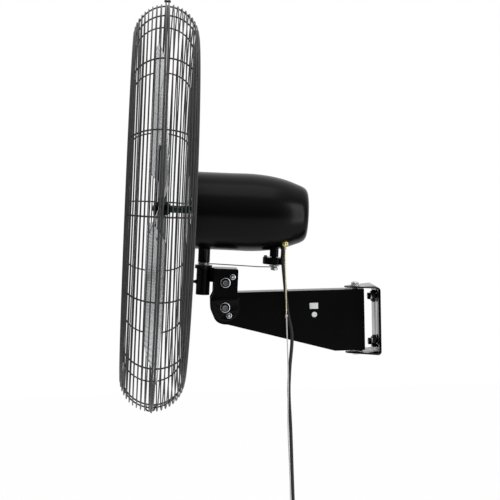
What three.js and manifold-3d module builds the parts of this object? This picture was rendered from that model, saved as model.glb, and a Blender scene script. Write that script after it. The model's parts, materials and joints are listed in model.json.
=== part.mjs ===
// A wall mounted oscillating fan: a wall bracket, a pressed arm that swivels on it, a tilting neck,
// an oscillating motor head with a wire guard, and a three-bladed rotor.
// Millimetres. +Z is up, the wall is the plane x = 0 and the fan faces -X.
// The origin is the centre of the bracket's back face, on the wall.

import * as THREE from 'three';
import { mergeVertices } from 'three/addons/utils/BufferGeometryUtils.js';
import Module from 'manifold-3d';

const wasm = await Module();
wasm.setup();

// ---------------------------------------------------------------- driving sizes

const GAP = 0.4; // between pieces that touch
const RUNNING_GAP = 0.5; // between pieces that turn on each other
const DEGREE = Math.PI / 180;

// wall bracket
const BRACKET_HEIGHT = 136;
const BRACKET_WIDTH = 118;
const BRACKET_SHEET = 2.5;
const BRACKET_BEND = 7;
const FLANGE_END_RADIUS = 22;
const SWIVEL_REACH = 44; // wall to swivel axis
const WALL_BOLT_SPACING = 92;
const WALL_BOLT_RADIUS = 4;
const WALL_BOLT_HEAD_RADIUS = 7.5;
const WALL_BOLT_HEAD_HEIGHT = 5.5;
const WALL_WASHER_RADIUS = 10.5;
const WALL_WASHER_THICKNESS = 3;
const RUBBER_PAD_RADIUS = 13;
const RUBBER_PAD_THICKNESS = 7;

// swivel bolt
const SWIVEL_BOLT_RADIUS = 5;
const SWIVEL_HEAD_RADIUS = 8;
const SWIVEL_HEAD_HEIGHT = 4.6;
const SWIVEL_NUT_RADIUS = 9.8;
const SWIVEL_NUT_HEIGHT = 8;
const SWIVEL_BOLT_PROUD = 4; // bolt end above its nut
const SWIVEL_WASHER_RADIUS = 14;

// arm
const ARM_HALF_WIDTH = 20;
const ARM_SHEET = 2.5;
const ARM_TOP = 62.4; // above the bracket's centre
const ARM_REAR_FOOT = -61.5; // underside where it sits on the lower flange
const ARM_REAR_OVERHANG = 16; // behind the swivel axis
const ARM_FOOT_LENGTH = 45; // level underside in front of the swivel axis
const ARM_NOSE_X = -335;
const ARM_NOSE_SHOULDER = 56;
const ARM_NOSE_RADIUS = 30;
const ARM_NOSE_UNDERSIDE = -2;
const ARM_NOSE_SLANT = 27.8; // length of the sloping top edge at the nose
const LABEL_LENGTH = 17;
const LABEL_HEIGHT = 12;
const LABEL_THICKNESS = 0.8;
const LABEL_X = -128;
const LABEL_Z = 28.7;

// tilt joint between arm and neck
const TILT_X = -309.5;
const TILT_Z = 33;
const CHEEK_SHEET = 3;
const CHEEK_END_RADIUS = 28.6;
const CHEEK_WIDTH = 38.4;
const CHEEK_HEAD_RISE = 19; // above the link bolt
const CHEEK_HEAD_CHAMFER = 6;
const CHEEK_HEAD_SIDE = 15; // height above the link bolt where the chamfer starts
const CHEEK_WAIST_DROP = 10; // below the link bolt, where the front edge slopes out
const CHEEK_LEDGE_BOTTOM = 12; // stiffening ledge above the tilt axis
const CHEEK_LEDGE_TOP = 19.5;
const CHEEK_LEDGE_HALF_WIDTH = 27;
const CHEEK_LEDGE_DEPTH = 2.4;
const PIVOT_BOLT_RADIUS = 5;
const PIVOT_HEAD_RADIUS = 7.2;
const PIVOT_HEAD_HEIGHT = 6.4;
const PIVOT_WASHER_RADIUS = 9.8;
const PIVOT_WASHER_THICKNESS = 1.8;
const PIVOT_NUT_RADIUS = 8.8;
const PIVOT_NUT_HEIGHT = 8;
const PIVOT_BOLT_PROUD = 3;
const LOCK_BOLT_RADIUS = 2.9;
const LOCK_HEAD_RADIUS = 5.7;
const LOCK_HEAD_HEIGHT = 4;
const TILT_LOCK_ORBIT = 18; // slot radius round the tilt axis
const TILT_LOCK_ANGLE = -65.7;
const TILT_NOSE_DOWN = 30;
const TILT_NOSE_UP = 15;

// neck, in the head's own frame: x back along the fan axis, z up the neck axis
const HEAD_TILT = 3.9; // nose up, degrees
const NECK_X = -349.5;
const NECK_Z = 117;
const NECK_TUBE_RADIUS = 14;
const NECK_TUBE_WALL = 2.4;
const NECK_TUBE_LENGTH = 60;
const COLLAR_RADIUS = 17.5;
const COLLAR_HEIGHT = 7.3;
const COLLAR_TOP = 1.4;
const NECK_PLATE_SHEET = 2.5;
const NECK_PLATE_FRONT = 20.6;
const NECK_PLATE_REAR = 69;
const NECK_PLATE_TOP = -3;
const NECK_PLATE_BOTTOM = -59.4;
const NECK_WEB_BOTTOM = -32;
const NECK_CORNER = 3;
const LINK_PIVOT_X = 44;
const LINK_PIVOT_Z = -31;
const LINK_LOCK_X = 58;
const LINK_LOCK_Z = -18.8;
const LUG_REACH = 24; // neck axis to the oscillation pin on the collar
const LUG_RADIUS = 6;
const LUG_THICKNESS = 3.4;
const LUG_PIN_RADIUS = 2.6;
const LUG_PIN_HEIGHT = 0.9;
const POST_RADIUS = 12;
const POST_BOTTOM = 6.8;
const POST_BLEND = 8; // reach of the post's saddle up the motor's side
const SPINDLE_LENGTH = 58;
const BUSH_WALL = 1.8;
const BUSH_LENGTH = 24;
const THRUST_WASHER_RADIUS = 11;
const LOCK_SCREW_RADIUS = 3;
const LOCK_SCREW_LENGTH = 6.4;
const LOCK_SCREW_DROP = 33;

// motor, along the fan axis
const AXIS_HEIGHT = 110.8; // neck datum to fan axis
const MOTOR_RADIUS = 77.8;
const MOTOR_WALL = 3;
const BELL_FRONT = -27.4;
const BELL_PLATE = 4;
const BELL_ROUND = 5;
const BELL_LENGTH = 16;
const HOUSING_REAR = 85;
const SHIELD_THICKNESS = 4;
const SHIELD_INSET = 4; // in front of the housing's rear edge
const COVER_WAIST = 120;
const COVER_WAIST_RADIUS = 74.6;
const COVER_MID = 150;
const COVER_MID_RADIUS = 69;
const COVER_SHOULDER = 190;
const COVER_SHOULDER_RADIUS = 55;
const COVER_REAR = 203;
const COVER_REAR_RADIUS = 40;
const BEARING_RADIUS = 17.5;
const BEARING_WIDTH = 12;
const BEARING_SEAT_WALL = 4;
const STATOR_INNER_RADIUS = 42;
const STACK_FRONT = 2;
const STACK_REAR = 62;
const SHAFT_RADIUS = 6;
const SHAFT_HOLE_RADIUS = 9.5;
const SHAFT_REAR = 156;
const SLEEVE_RADIUS = 8.6;
const SLEEVE_FRONT = -71.6;
const SLEEVE_REAR_GAP = 2; // clear of the bell
const WORM_RADIUS = 8;
const WORM_LENGTH = 26;

// rotor
const HUB_FRONT = -105.9;
const HUB_REAR = -77.6;
const HUB_RADIUS = 13;
const BLADE_COUNT = 3;
const BLADE_TIP_RADIUS = 381;
const BLADE_ROOT_RADIUS = 52;
const BLADE_SHEET = 2;
const BLADE_ROOT_CHORD = 104;
const BLADE_TIP_CHORD = 158;
const BLADE_ROOT_PITCH = 21;
const BLADE_TIP_PITCH = 10;
const BLADE_CAMBER = 6;
const BLADE_TIP_CORNER = 34;
const BLADE_PLANE = -97.5;
const BLADE_PARK_ANGLE = 37; // first blade from the top towards the far side
const SPIDER_CHORD = 38;
const SPIDER_SHEET = 4;
const SPIDER_REACH = 150;
const SPIDER_GAP = 0.9; // clear of the blade's facets

// guard
const GUARD_RADIUS = 404.5;
const GUARD_HALF_DEPTH = 62.6;
const GUARD_SEAM = -94.8; // along the fan axis from the neck axis
const GUARD_RIBS = 16;
const GUARD_SPANS = 2; // straight chords between two ribs
const RIB_WIDTH = 4;
const RING_WIDTH = 3;
const SEAM_RING_WIDTH = 6;
const WIRE_THICKNESS = 3.4;
const SIDE_RING_ANGLES = [32, 62];
const FRONT_FACE_RINGS = [244, 145];
const REAR_FACE_RINGS = [210];
const FRONT_PLATE_RADIUS = 46;
const FRONT_PLATE_HOLE = 6;
const REAR_PLATE_RADIUS = 76;
const REAR_PLATE_HOLE = 30;
const CLIP_WIDTH = 9;
const CLIP_REACH = 9;
const CLIP_LENGTH = 17;

// oscillation drive
const CRANK_AXIS_X = 141;
const CRANK_RADIUS = 22.5;
const CRANK_THROW = 16.5;
const CRANK_TOP = 22.5;
const CRANK_THICKNESS = 12.5;
const CRANK_SHAFT_RADIUS = 5;
const GEAR_POST_RADIUS = 9;
const GEAR_POST_BOTTOM = 23.5;
const CRANK_PIN_RADIUS = 3;
const CRANK_PIN_END = -3;
const CRANK_NUT_RADIUS = 8;
const CRANK_NUT_HEIGHT = 4.6;
const SPUR_RADIUS = 15.4;
const SPUR_THICKNESS = 6;
const SPUR_DROP = 32; // below the fan axis
const IDLER_OFFSET = 22;
const IDLER_WHEEL_RADIUS = 13;
const IDLER_WHEEL_THICKNESS = 8;
const PINION_RADIUS = 5.8;
const PINION_LENGTH = 10;
const IDLER_SPINDLE_RADIUS = 3;
const ROD_RADIUS = 1.6;
const ROD_EYE_RADIUS = 6;
const ROD_EYE_THICKNESS = 2.4;
const ROD_HEIGHT = 4.2;

// pull chain
const NIPPLE_X = 159;
const NIPPLE_Y = -38;
const NIPPLE_RADIUS = 6.3;
const NIPPLE_LIP_RADIUS = 4.6;
const NIPPLE_BORE_RADIUS = 2.5;
const NIPPLE_STEM_RADIUS = 4;
const NIPPLE_HEIGHT = 12;
const NIPPLE_STEM = 26; // mouth to switch
const NIPPLE_DROP = 64.2; // fan axis to the mouth
const NIPPLE_MOUTH_Z = AXIS_HEIGHT - NIPPLE_DROP;
const SWITCH_LENGTH = 18;
const SWITCH_WIDTH = 14;
const SWITCH_HEIGHT = 18;
const CHAIN_RADIUS = 1.7;
const CHAIN_BEADS = 24;
const CHAIN_PITCH = 5.9;
const CHAIN_NECK_RADIUS = 0.8;
const CHAIN_START = 4; // inside the nipple's mouth
const STRING_RADIUS = 1.3;
const STRING_LENGTH = 390;
const KNOB_RADIUS = 8;
const KNOB_TOP_RADIUS = 3.6;
const KNOB_NECK_RADIUS = 4.8;
const KNOB_FOOT_RADIUS = 6.4;
const KNOB_LENGTH = 24;

// power cord
const CORD_RADIUS = 3.5;
const CORD_HOLE_RADIUS = 4.5;
const RELIEF_X = 157;
const RELIEF_Y = -24.5;
const RELIEF_RADIUS = 6;
const RELIEF_TAIL_RADIUS = 5.1;
const RELIEF_LENGTH = 20.6;
const RELIEF_FLANGE = 3.5;
const RELIEF_DROP = 66.2; // fan axis to the top of the relief
const RELIEF_TOP_Z = AXIS_HEIGHT - RELIEF_DROP;
const HANK_TOP_Z = -404;
const HANK_RUN = 128;
const HANK_INNER_RADIUS = 19;
const HANK_PITCH = 8.6;
const HANK_LAYER = 8.4;
const HANK_TURNS = 3; // in each of the two layers
const HANK_WAIST = 13;
const HANK_X = -175;
const HANK_Y = -12.4;
const HANK_SHIFT = 38; // height over which the ends step in and out of the layers
const TIE_SHEET = 1.2;
const HANK_TIE_SLACK = 2.4;
const TIE_HEIGHT = 14;
const TIE_CORNER = 3;
const PLUG_RADIUS = 14;
const PLUG_LENGTH = 34;
const PLUG_NECK_RADIUS = 5.5;
const PLUG_NECK_LENGTH = 10;
const PLUG_SHOULDER = 15;
const PIN_LENGTH = 16;
const PIN_WIDTH = 6.4;
const PIN_THICKNESS = 1.6;
const PIN_SPACING = 12.7;
const PIN_OFFSET = 2;
const EARTH_PIN_RADIUS = 2.4;
const EARTH_PIN_OFFSET = 8;

// ---------------------------------------------------------------- finishes

const finish = (color, roughness, metalness) =>
  new THREE.MeshStandardMaterial({ color, roughness, metalness });

const BLACK_PAINT = finish(0x1a1a1b, 0.42, 0.1);
const BLACK_WIRE = finish(0x202022, 0.35, 0.2);
const ZINC = finish(0xb4b7bb, 0.35, 0.9);
const STEEL = finish(0x8d9095, 0.35, 0.9);
const ALUMINIUM = finish(0xb9bcc0, 0.42, 0.85);
const BRASS = finish(0xb79a5a, 0.32, 0.9);
const NICKEL = finish(0xcfc6b0, 0.3, 0.85);
const RUBBER = finish(0x151515, 0.8, 0);
const GREEN = finish(0x1f4f40, 0.5, 0.1);
const COPPER = finish(0x9c5b35, 0.45, 0.8);
const PAPER = finish(0xd9dbd8, 0.6, 0);
const STRING = finish(0xe4e2dc, 0.85, 0);
const PLASTIC = finish(0x2a2a2c, 0.55, 0);

// ---------------------------------------------------------------- solids

// Shared points merged, empty triangles dropped and the faces pointing out.
function closed(geometry) {
  const bare = geometry.clone();
  for (const name of Object.keys(bare.attributes)) {
    if (name !== 'position') bare.deleteAttribute(name);
  }
  const merged = mergeVertices(bare, 1e-4);
  const place = merged.getAttribute('position');
  const corner = (i) => new THREE.Vector3().fromBufferAttribute(place, i);
  const index = merged.getIndex().array;
  const kept = [];
  let volume = 0;
  for (let i = 0; i < index.length; i += 3) {
    const [a, b, c] = [index[i], index[i + 1], index[i + 2]];
    if (a === b || b === c || a === c) continue;
    kept.push([a, b, c]);
    volume += corner(a).dot(corner(b).cross(corner(c)));
  }
  const outward = kept.map(([a, b, c]) => (volume > 0 ? [a, b, c] : [a, c, b]));
  merged.setIndex(outward.flat());
  return merged;
}

function solid(geometry) {
  const shell = closed(geometry);
  return new wasm.Manifold(new wasm.Mesh({
    numProp: 3,
    vertProperties: new Float32Array(shell.getAttribute('position').array),
    triVerts: new Uint32Array(shell.getIndex().array),
  }));
}

function shown(body) {
  const mesh = body.getMesh();
  const geometry = new THREE.BufferGeometry();
  geometry.setAttribute('position', new THREE.BufferAttribute(mesh.vertProperties, 3));
  geometry.setIndex(new THREE.BufferAttribute(mesh.triVerts, 1));
  return geometry;
}

const join = (first, ...rest) => shown(rest.reduce((sum, g) => sum.add(solid(g)), solid(first)));
const cut = (first, ...rest) => shown(rest.reduce((sum, g) => sum.subtract(solid(g)), solid(first)));

const box = (x, y, z, at = [0, 0, 0]) => new THREE.BoxGeometry(x, y, z).translate(...at);

// Round bars between two heights along Z, X or Y.
function rod(radius, from, to, sides = 20) {
  const bar = new THREE.CylinderGeometry(radius, radius, to - from, sides);
  return bar.rotateX(90 * DEGREE).translate(0, 0, (from + to) / 2);
}
const rodAlongX = (radius, from, to, sides) => rod(radius, from, to, sides).rotateY(90 * DEGREE);
const rodAlongY = (radius, from, to, sides) => rod(radius, from, to, sides).rotateX(-90 * DEGREE);

// A closed profile of [radius, height] corners turned about Z, or about X.
function turned(profile, sides = 24) {
  const points = [...profile, profile[0]].map(([r, h]) => new THREE.Vector2(r, h));
  return new THREE.LatheGeometry(points, sides).rotateX(90 * DEGREE);
}
const turnedAlongX = (profile, sides) => turned(profile, sides).rotateY(90 * DEGREE);

const ringProfile = (inner, outer, from, to) => [[inner, from], [outer, from], [outer, to], [inner, to]];
const tube = (inner, outer, from, to, sides) => turned(ringProfile(inner, outer, from, to), sides);
const tubeAlongY = (inner, outer, from, to, sides) => (
  tube(inner, outer, from, to, sides).rotateX(-90 * DEGREE)
);

const hexagon = (radius, from, to) => rod(radius, from, to, 6);
const hexagonAlongY = (radius, from, to) => rodAlongY(radius, from, to, 6);

// A flat outline drawn in X and Z, with its thickness between two Y values.
function plateAcrossY(outline, fromY, toY, curveSegments = 10) {
  const shape = new THREE.ExtrudeGeometry(
    outline, { depth: toY - fromY, bevelEnabled: false, curveSegments },
  );
  return shape.rotateX(90 * DEGREE).translate(0, toY, 0);
}

// A flat outline drawn in X and Y, with its thickness between two heights.
function plateAcrossZ(outline, from, to, curveSegments = 10) {
  const shape = new THREE.ExtrudeGeometry(outline, { depth: to - from, bevelEnabled: false, curveSegments });
  return shape.translate(0, 0, from);
}

function polygon(points) {
  const shape = new THREE.Shape();
  points.forEach(([x, y], i) => (i ? shape.lineTo(x, y) : shape.moveTo(x, y)));
  shape.closePath();
  return shape;
}

// An arc-shaped slot round the origin, from one angle to another, in degrees.
function arcSlot(orbit, halfWidth, from, to) {
  const shape = new THREE.Shape();
  const end = (angle, turn) => {
    const [x, y] = [orbit * Math.cos(angle), orbit * Math.sin(angle)];
    shape.absarc(x, y, halfWidth, angle + turn, angle + turn + Math.PI, false);
  };
  shape.absarc(0, 0, orbit + halfWidth, from * DEGREE, to * DEGREE, false);
  end(to * DEGREE, 0);
  shape.absarc(0, 0, orbit - halfWidth, to * DEGREE, from * DEGREE, true);
  end(from * DEGREE, Math.PI);
  return shape;
}

// A round tube along points, with straight ends.
function tubeAlong(points, radius, sides, steps) {
  const section = new THREE.Shape();
  for (let i = 0; i < sides; i += 1) {
    const angle = (i / sides) * 2 * Math.PI;
    const [x, y] = [radius * Math.cos(angle), radius * Math.sin(angle)];
    if (i) section.lineTo(x, y);
    else section.moveTo(x, y);
  }
  section.closePath();
  const extrudePath = new THREE.CatmullRomCurve3(points, false, 'centripetal');
  return new THREE.ExtrudeGeometry(section, { steps, extrudePath, bevelEnabled: false });
}

// The same tube swept point by point with a steady frame, for the wound cord.
function sweptTube(points, radius, sides, side) {
  const positions = [];
  points.forEach((point, k) => {
    const before = points[Math.max(k - 1, 0)];
    const after = points[Math.min(k + 1, points.length - 1)];
    const along = after.clone().sub(before).normalize();
    const across = side.clone().sub(along.clone().multiplyScalar(side.dot(along))).normalize();
    const third = along.clone().cross(across);
    for (let i = 0; i < sides; i += 1) {
      const angle = (i / sides) * 2 * Math.PI;
      const corner = point.clone()
        .add(across.clone().multiplyScalar(radius * Math.cos(angle)))
        .add(third.clone().multiplyScalar(radius * Math.sin(angle)));
      positions.push(corner.x, corner.y, corner.z);
    }
  });
  const index = [];
  const last = (points.length - 1) * sides;
  for (let k = 0; k + 1 < points.length; k += 1) {
    for (let i = 0; i < sides; i += 1) {
      const [a, b] = [k * sides + i, k * sides + ((i + 1) % sides)];
      index.push(a, b, b + sides, a, b + sides, a + sides);
    }
  }
  for (let i = 1; i + 1 < sides; i += 1) {
    index.push(0, i + 1, i, last, last + i, last + i + 1);
  }
  const geometry = new THREE.BufferGeometry();
  geometry.setAttribute('position', new THREE.Float32BufferAttribute(positions, 3));
  geometry.setIndex(index);
  return geometry;
}

// ---------------------------------------------------------------- scene graph

const fan = new THREE.Group();
const neck = new THREE.Group(); // the head's frame: origin on the neck axis at the collar
neck.position.set(NECK_X, 0, NECK_Z);
neck.rotation.y = HEAD_TILT * DEGREE;
fan.add(neck);
const motorAxis = new THREE.Group(); // on the fan axis, x back along it
motorAxis.position.set(0, 0, AXIS_HEIGHT);
neck.add(motorAxis);

function place(parent, name, geometry, material, at = [0, 0, 0]) {
  const mesh = new THREE.Mesh(closed(geometry), material);
  mesh.name = name;
  mesh.position.set(...at);
  parent.add(mesh);
  return mesh;
}

// ---------------------------------------------------------------- wall bracket

const HALF_HEIGHT = BRACKET_HEIGHT / 2;
const WEB_FACE = -BRACKET_SHEET;

function wallBracket() {
  const half = BRACKET_WIDTH / 2;
  const inner = BRACKET_BEND - BRACKET_SHEET;
  // side view: a U opening towards -X with round bends
  const reach = SWIVEL_REACH + FLANGE_END_RADIUS;
  const outer = new THREE.Shape();
  outer.moveTo(-reach, -HALF_HEIGHT);
  outer.lineTo(-BRACKET_BEND, -HALF_HEIGHT);
  outer.absarc(-BRACKET_BEND, -HALF_HEIGHT + BRACKET_BEND, BRACKET_BEND, -90 * DEGREE, 0, false);
  outer.absarc(-BRACKET_BEND, HALF_HEIGHT - BRACKET_BEND, BRACKET_BEND, 0, 90 * DEGREE, false);
  outer.lineTo(-reach, HALF_HEIGHT);
  outer.lineTo(-reach, HALF_HEIGHT - BRACKET_SHEET);
  outer.absarc(-BRACKET_BEND, HALF_HEIGHT - BRACKET_BEND, inner, 90 * DEGREE, 0, true);
  outer.absarc(-BRACKET_BEND, -HALF_HEIGHT + BRACKET_BEND, inner, 0, -90 * DEGREE, true);
  outer.lineTo(-reach, -HALF_HEIGHT + BRACKET_SHEET);
  outer.closePath();
  const channel = plateAcrossY(outer, -half, half, 4);
  // plan view: the flanges taper to round ends about the swivel bolt
  const depth = SWIVEL_REACH - BRACKET_BEND;
  const tangent = Math.atan2(half, depth) + Math.acos(FLANGE_END_RADIUS / Math.hypot(half, depth));
  const plan = new THREE.Shape();
  plan.moveTo(0, -half);
  plan.lineTo(0, half);
  plan.lineTo(-BRACKET_BEND, half);
  plan.absarc(-SWIVEL_REACH, 0, FLANGE_END_RADIUS, tangent, 360 * DEGREE - tangent, false);
  plan.lineTo(-BRACKET_BEND, -half);
  plan.closePath();
  const footprint = solid(plateAcrossZ(plan, -HALF_HEIGHT - 1, HALF_HEIGHT + 1, 8));
  const bolt = rod(SWIVEL_BOLT_RADIUS + GAP, -HALF_HEIGHT - 2, HALF_HEIGHT + 2, 16)
    .translate(-SWIVEL_REACH, 0, 0);
  let body = solid(channel).intersect(footprint).subtract(solid(bolt));
  for (const side of [-1, 1]) {
    const hole = rodAlongX(WALL_BOLT_RADIUS + GAP, -BRACKET_SHEET - 2, 2, 16);
    body = body.subtract(solid(hole.translate(0, 0, side * WALL_BOLT_SPACING / 2)));
  }
  return shown(body);
}
place(fan, 'wall_bracket', wallBracket(), BLACK_PAINT);

const PAD_FACE = WEB_FACE - GAP - RUBBER_PAD_THICKNESS;
const WALL_WASHER_FACE = PAD_FACE - GAP - WALL_WASHER_THICKNESS;
const WALL_HEAD_FACE = WALL_WASHER_FACE - GAP - WALL_BOLT_HEAD_HEIGHT;

['upper', 'lower'].forEach((which, i) => {
  const at = [0, 0, (0.5 - i) * WALL_BOLT_SPACING];
  const clear = WALL_BOLT_RADIUS + GAP;
  const pad = turnedAlongX(ringProfile(clear, RUBBER_PAD_RADIUS, PAD_FACE, WEB_FACE - GAP), 24);
  const washer = turnedAlongX(ringProfile(clear, WALL_WASHER_RADIUS, WALL_WASHER_FACE, PAD_FACE - GAP), 20);
  const head = rodAlongX(WALL_BOLT_HEAD_RADIUS, WALL_HEAD_FACE, WALL_WASHER_FACE - GAP, 6);
  const shank = rodAlongX(WALL_BOLT_RADIUS, WALL_HEAD_FACE + 1, -GAP, 14);
  place(fan, `rubber_pad_${which}`, pad, RUBBER, at);
  place(fan, `wall_washer_${which}`, washer, ZINC, at);
  place(fan, `wall_bolt_${which}`, join(head, shank), BLACK_PAINT, at);
});

// ---------------------------------------------------------------- swivel

const FLANGE_INNER = HALF_HEIGHT - BRACKET_SHEET;
const SWIVEL_AT = [-SWIVEL_REACH, 0, 0];

function swivelBolt() {
  const top = HALF_HEIGHT + GAP + SWIVEL_NUT_HEIGHT + SWIVEL_BOLT_PROUD;
  const under = -HALF_HEIGHT - GAP;
  const shank = rod(SWIVEL_BOLT_RADIUS, under - 1, top, 16);
  const head = rod(SWIVEL_HEAD_RADIUS, under - SWIVEL_HEAD_HEIGHT, under, 18);
  return join(shank, head);
}
place(fan, 'swivel_bolt', swivelBolt(), ZINC, SWIVEL_AT);
place(
  fan, 'swivel_nut',
  cut(
    hexagon(SWIVEL_NUT_RADIUS, HALF_HEIGHT + GAP, HALF_HEIGHT + GAP + SWIVEL_NUT_HEIGHT),
    rod(SWIVEL_BOLT_RADIUS + GAP, HALF_HEIGHT - 2, HALF_HEIGHT + SWIVEL_NUT_HEIGHT + 2, 16),
  ),
  ZINC, SWIVEL_AT,
);

// ---------------------------------------------------------------- arm

function armOutline(inset) {
  // side view, X and Z; inset draws the hollow inside the sheet
  const rear = -SWIVEL_REACH + ARM_REAR_OVERHANG;
  const foot = -SWIVEL_REACH - ARM_FOOT_LENGTH;
  const noseX = ARM_NOSE_X + inset;
  const shape = new THREE.Shape();
  shape.moveTo(rear, ARM_TOP - inset);
  shape.lineTo(rear, ARM_REAR_FOOT + inset);
  shape.lineTo(foot, ARM_REAR_FOOT + inset);
  shape.lineTo(ARM_NOSE_X + ARM_NOSE_RADIUS, ARM_NOSE_UNDERSIDE + inset);
  shape.quadraticCurveTo(noseX, ARM_NOSE_UNDERSIDE + inset, noseX, ARM_NOSE_UNDERSIDE + ARM_NOSE_RADIUS);
  shape.lineTo(noseX, ARM_NOSE_SHOULDER - inset);
  shape.lineTo(noseX + ARM_NOSE_SLANT, ARM_TOP - inset);
  shape.closePath();
  return shape;
}

function arm() {
  const skin = solid(plateAcrossY(armOutline(0), -ARM_HALF_WIDTH, ARM_HALF_WIDTH, 8));
  const inner = ARM_HALF_WIDTH - ARM_SHEET;
  const hollow = solid(plateAcrossY(armOutline(ARM_SHEET), -inner, inner, 8));
  // open below, in front of the level foot, and at the back
  const foot = -SWIVEL_REACH - ARM_FOOT_LENGTH;
  const noseClear = ARM_NOSE_X - 2;
  const below = solid(box(
    foot - noseClear, 2 * inner, ARM_TOP - ARM_REAR_FOOT,
    [(foot + noseClear) / 2, 0, (ARM_TOP + ARM_REAR_FOOT) / 2 - ARM_SHEET],
  ));
  const behind = solid(box(
    ARM_FOOT_LENGTH, 2 * inner, ARM_TOP - ARM_REAR_FOOT - 2 * ARM_SHEET,
    [-SWIVEL_REACH + ARM_REAR_OVERHANG, 0, (ARM_TOP + ARM_REAR_FOOT) / 2],
  ));
  const reach = ARM_HALF_WIDTH + 2;
  const swivelHole = rod(SWIVEL_BOLT_RADIUS + RUNNING_GAP, ARM_REAR_FOOT - 2, ARM_TOP + 2, 16)
    .translate(-SWIVEL_REACH, 0, 0);
  const tiltHole = rodAlongY(PIVOT_BOLT_RADIUS + RUNNING_GAP, -reach, reach, 16).translate(TILT_X, 0, TILT_Z);
  const lock = tiltLockPlace();
  const lockHole = rodAlongY(LOCK_BOLT_RADIUS + GAP, -reach, reach, 14).translate(lock[0], 0, lock[2]);
  const body = [hollow, below, behind, solid(swivelHole), solid(tiltHole), solid(lockHole)]
    .reduce((left, tool) => left.subtract(tool), skin);
  return shown(body);
}

function tiltLockPlace() {
  const angle = TILT_LOCK_ANGLE * DEGREE;
  return [TILT_X + TILT_LOCK_ORBIT * Math.cos(angle), 0, TILT_Z + TILT_LOCK_ORBIT * Math.sin(angle)];
}
place(fan, 'arm', arm(), BLACK_PAINT);

// the thrust washer fills what the bracket leaves below the arm
place(
  fan, 'swivel_washer',
  tube(SWIVEL_BOLT_RADIUS + RUNNING_GAP, SWIVEL_WASHER_RADIUS, -FLANGE_INNER + GAP, ARM_REAR_FOOT - GAP, 20),
  ZINC, SWIVEL_AT,
);

place(
  fan, 'label_plate',
  box(LABEL_LENGTH, LABEL_THICKNESS, LABEL_HEIGHT),
  PAPER, [LABEL_X, -ARM_HALF_WIDTH - GAP - LABEL_THICKNESS / 2, LABEL_Z],
);

// ---------------------------------------------------------------- tilting cheeks

const CHEEK_INNER = ARM_HALF_WIDTH + RUNNING_GAP;
const CHEEK_OUTER = CHEEK_INNER + CHEEK_SHEET;
const neckMatrix = new THREE.Matrix4().compose(neck.position, neck.quaternion, new THREE.Vector3(1, 1, 1));
const inWorld = (x, y, z) => new THREE.Vector3(x, y, z).applyMatrix4(neckMatrix);
const LINK_PIVOT = inWorld(LINK_PIVOT_X, 0, LINK_PIVOT_Z);
const LINK_LOCK = inWorld(LINK_LOCK_X, 0, LINK_LOCK_Z);

function cheek(side) {
  const rise = LINK_PIVOT.z - TILT_Z;
  const half = CHEEK_WIDTH / 2;
  const lean = LINK_PIVOT.x - TILT_X;
  const outline = new THREE.Shape();
  outline.moveTo(-CHEEK_END_RADIUS, 0);
  outline.absarc(0, 0, CHEEK_END_RADIUS, 180 * DEGREE, 360 * DEGREE, false);
  outline.lineTo(CHEEK_END_RADIUS, CHEEK_LEDGE_TOP);
  outline.lineTo(lean + half, rise);
  outline.lineTo(lean + half, rise + CHEEK_HEAD_SIDE);
  outline.lineTo(lean + half - CHEEK_HEAD_CHAMFER, rise + CHEEK_HEAD_RISE);
  outline.lineTo(lean - half + CHEEK_HEAD_CHAMFER, rise + CHEEK_HEAD_RISE);
  outline.lineTo(lean - half, rise + CHEEK_HEAD_SIDE);
  outline.lineTo(lean - half, rise - CHEEK_WAIST_DROP);
  outline.lineTo(-CHEEK_END_RADIUS, CHEEK_LEDGE_TOP);
  outline.closePath();
  const [near, far] = side < 0 ? [-CHEEK_OUTER, -CHEEK_INNER] : [CHEEK_INNER, CHEEK_OUTER];
  const plate = plateAcrossY(outline, near, far, 8);
  const ledge = box(
    2 * CHEEK_LEDGE_HALF_WIDTH, CHEEK_LEDGE_DEPTH + 1, CHEEK_LEDGE_TOP - CHEEK_LEDGE_BOTTOM,
    [0, side * (CHEEK_OUTER + (CHEEK_LEDGE_DEPTH - 1) / 2), (CHEEK_LEDGE_TOP + CHEEK_LEDGE_BOTTOM) / 2],
  );
  const through = [near - 5, far + 5];
  const pivot = rodAlongY(PIVOT_BOLT_RADIUS + GAP, ...through, 16);
  const link = rodAlongY(PIVOT_BOLT_RADIUS + GAP, ...through, 16).translate(lean, 0, rise);
  const linkLock = rodAlongY(LOCK_BOLT_RADIUS + GAP, ...through, 14)
    .translate(LINK_LOCK.x - TILT_X, 0, LINK_LOCK.z - TILT_Z);
  const slot = plateAcrossY(
    arcSlot(
      TILT_LOCK_ORBIT, LOCK_BOLT_RADIUS + GAP,
      TILT_LOCK_ANGLE - TILT_NOSE_DOWN, TILT_LOCK_ANGLE + TILT_NOSE_UP,
    ),
    near - 5, far + 5, 5,
  );
  return cut(join(plate, ledge), pivot, link, linkLock, slot);
}
const TILT_AT = [TILT_X, 0, TILT_Z];
place(fan, 'cheek_near', cheek(-1), BLACK_PAINT, TILT_AT);
place(fan, 'cheek_far', cheek(1), BLACK_PAINT, TILT_AT);

// A bolt along Y with its washer face on the near side and a nut on the far side.
function pivotBolt(halfStack) {
  const face = -halfStack - GAP;
  const washer = rodAlongY(PIVOT_WASHER_RADIUS, face - PIVOT_WASHER_THICKNESS, face, 24);
  const headEnd = face - PIVOT_WASHER_THICKNESS - PIVOT_HEAD_HEIGHT;
  const head = hexagonAlongY(PIVOT_HEAD_RADIUS, headEnd, face - 1);
  const shankEnd = halfStack + GAP + PIVOT_NUT_HEIGHT + PIVOT_BOLT_PROUD;
  const shank = rodAlongY(PIVOT_BOLT_RADIUS, face - 1, shankEnd, 16);
  return join(washer, head, shank);
}

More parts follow.
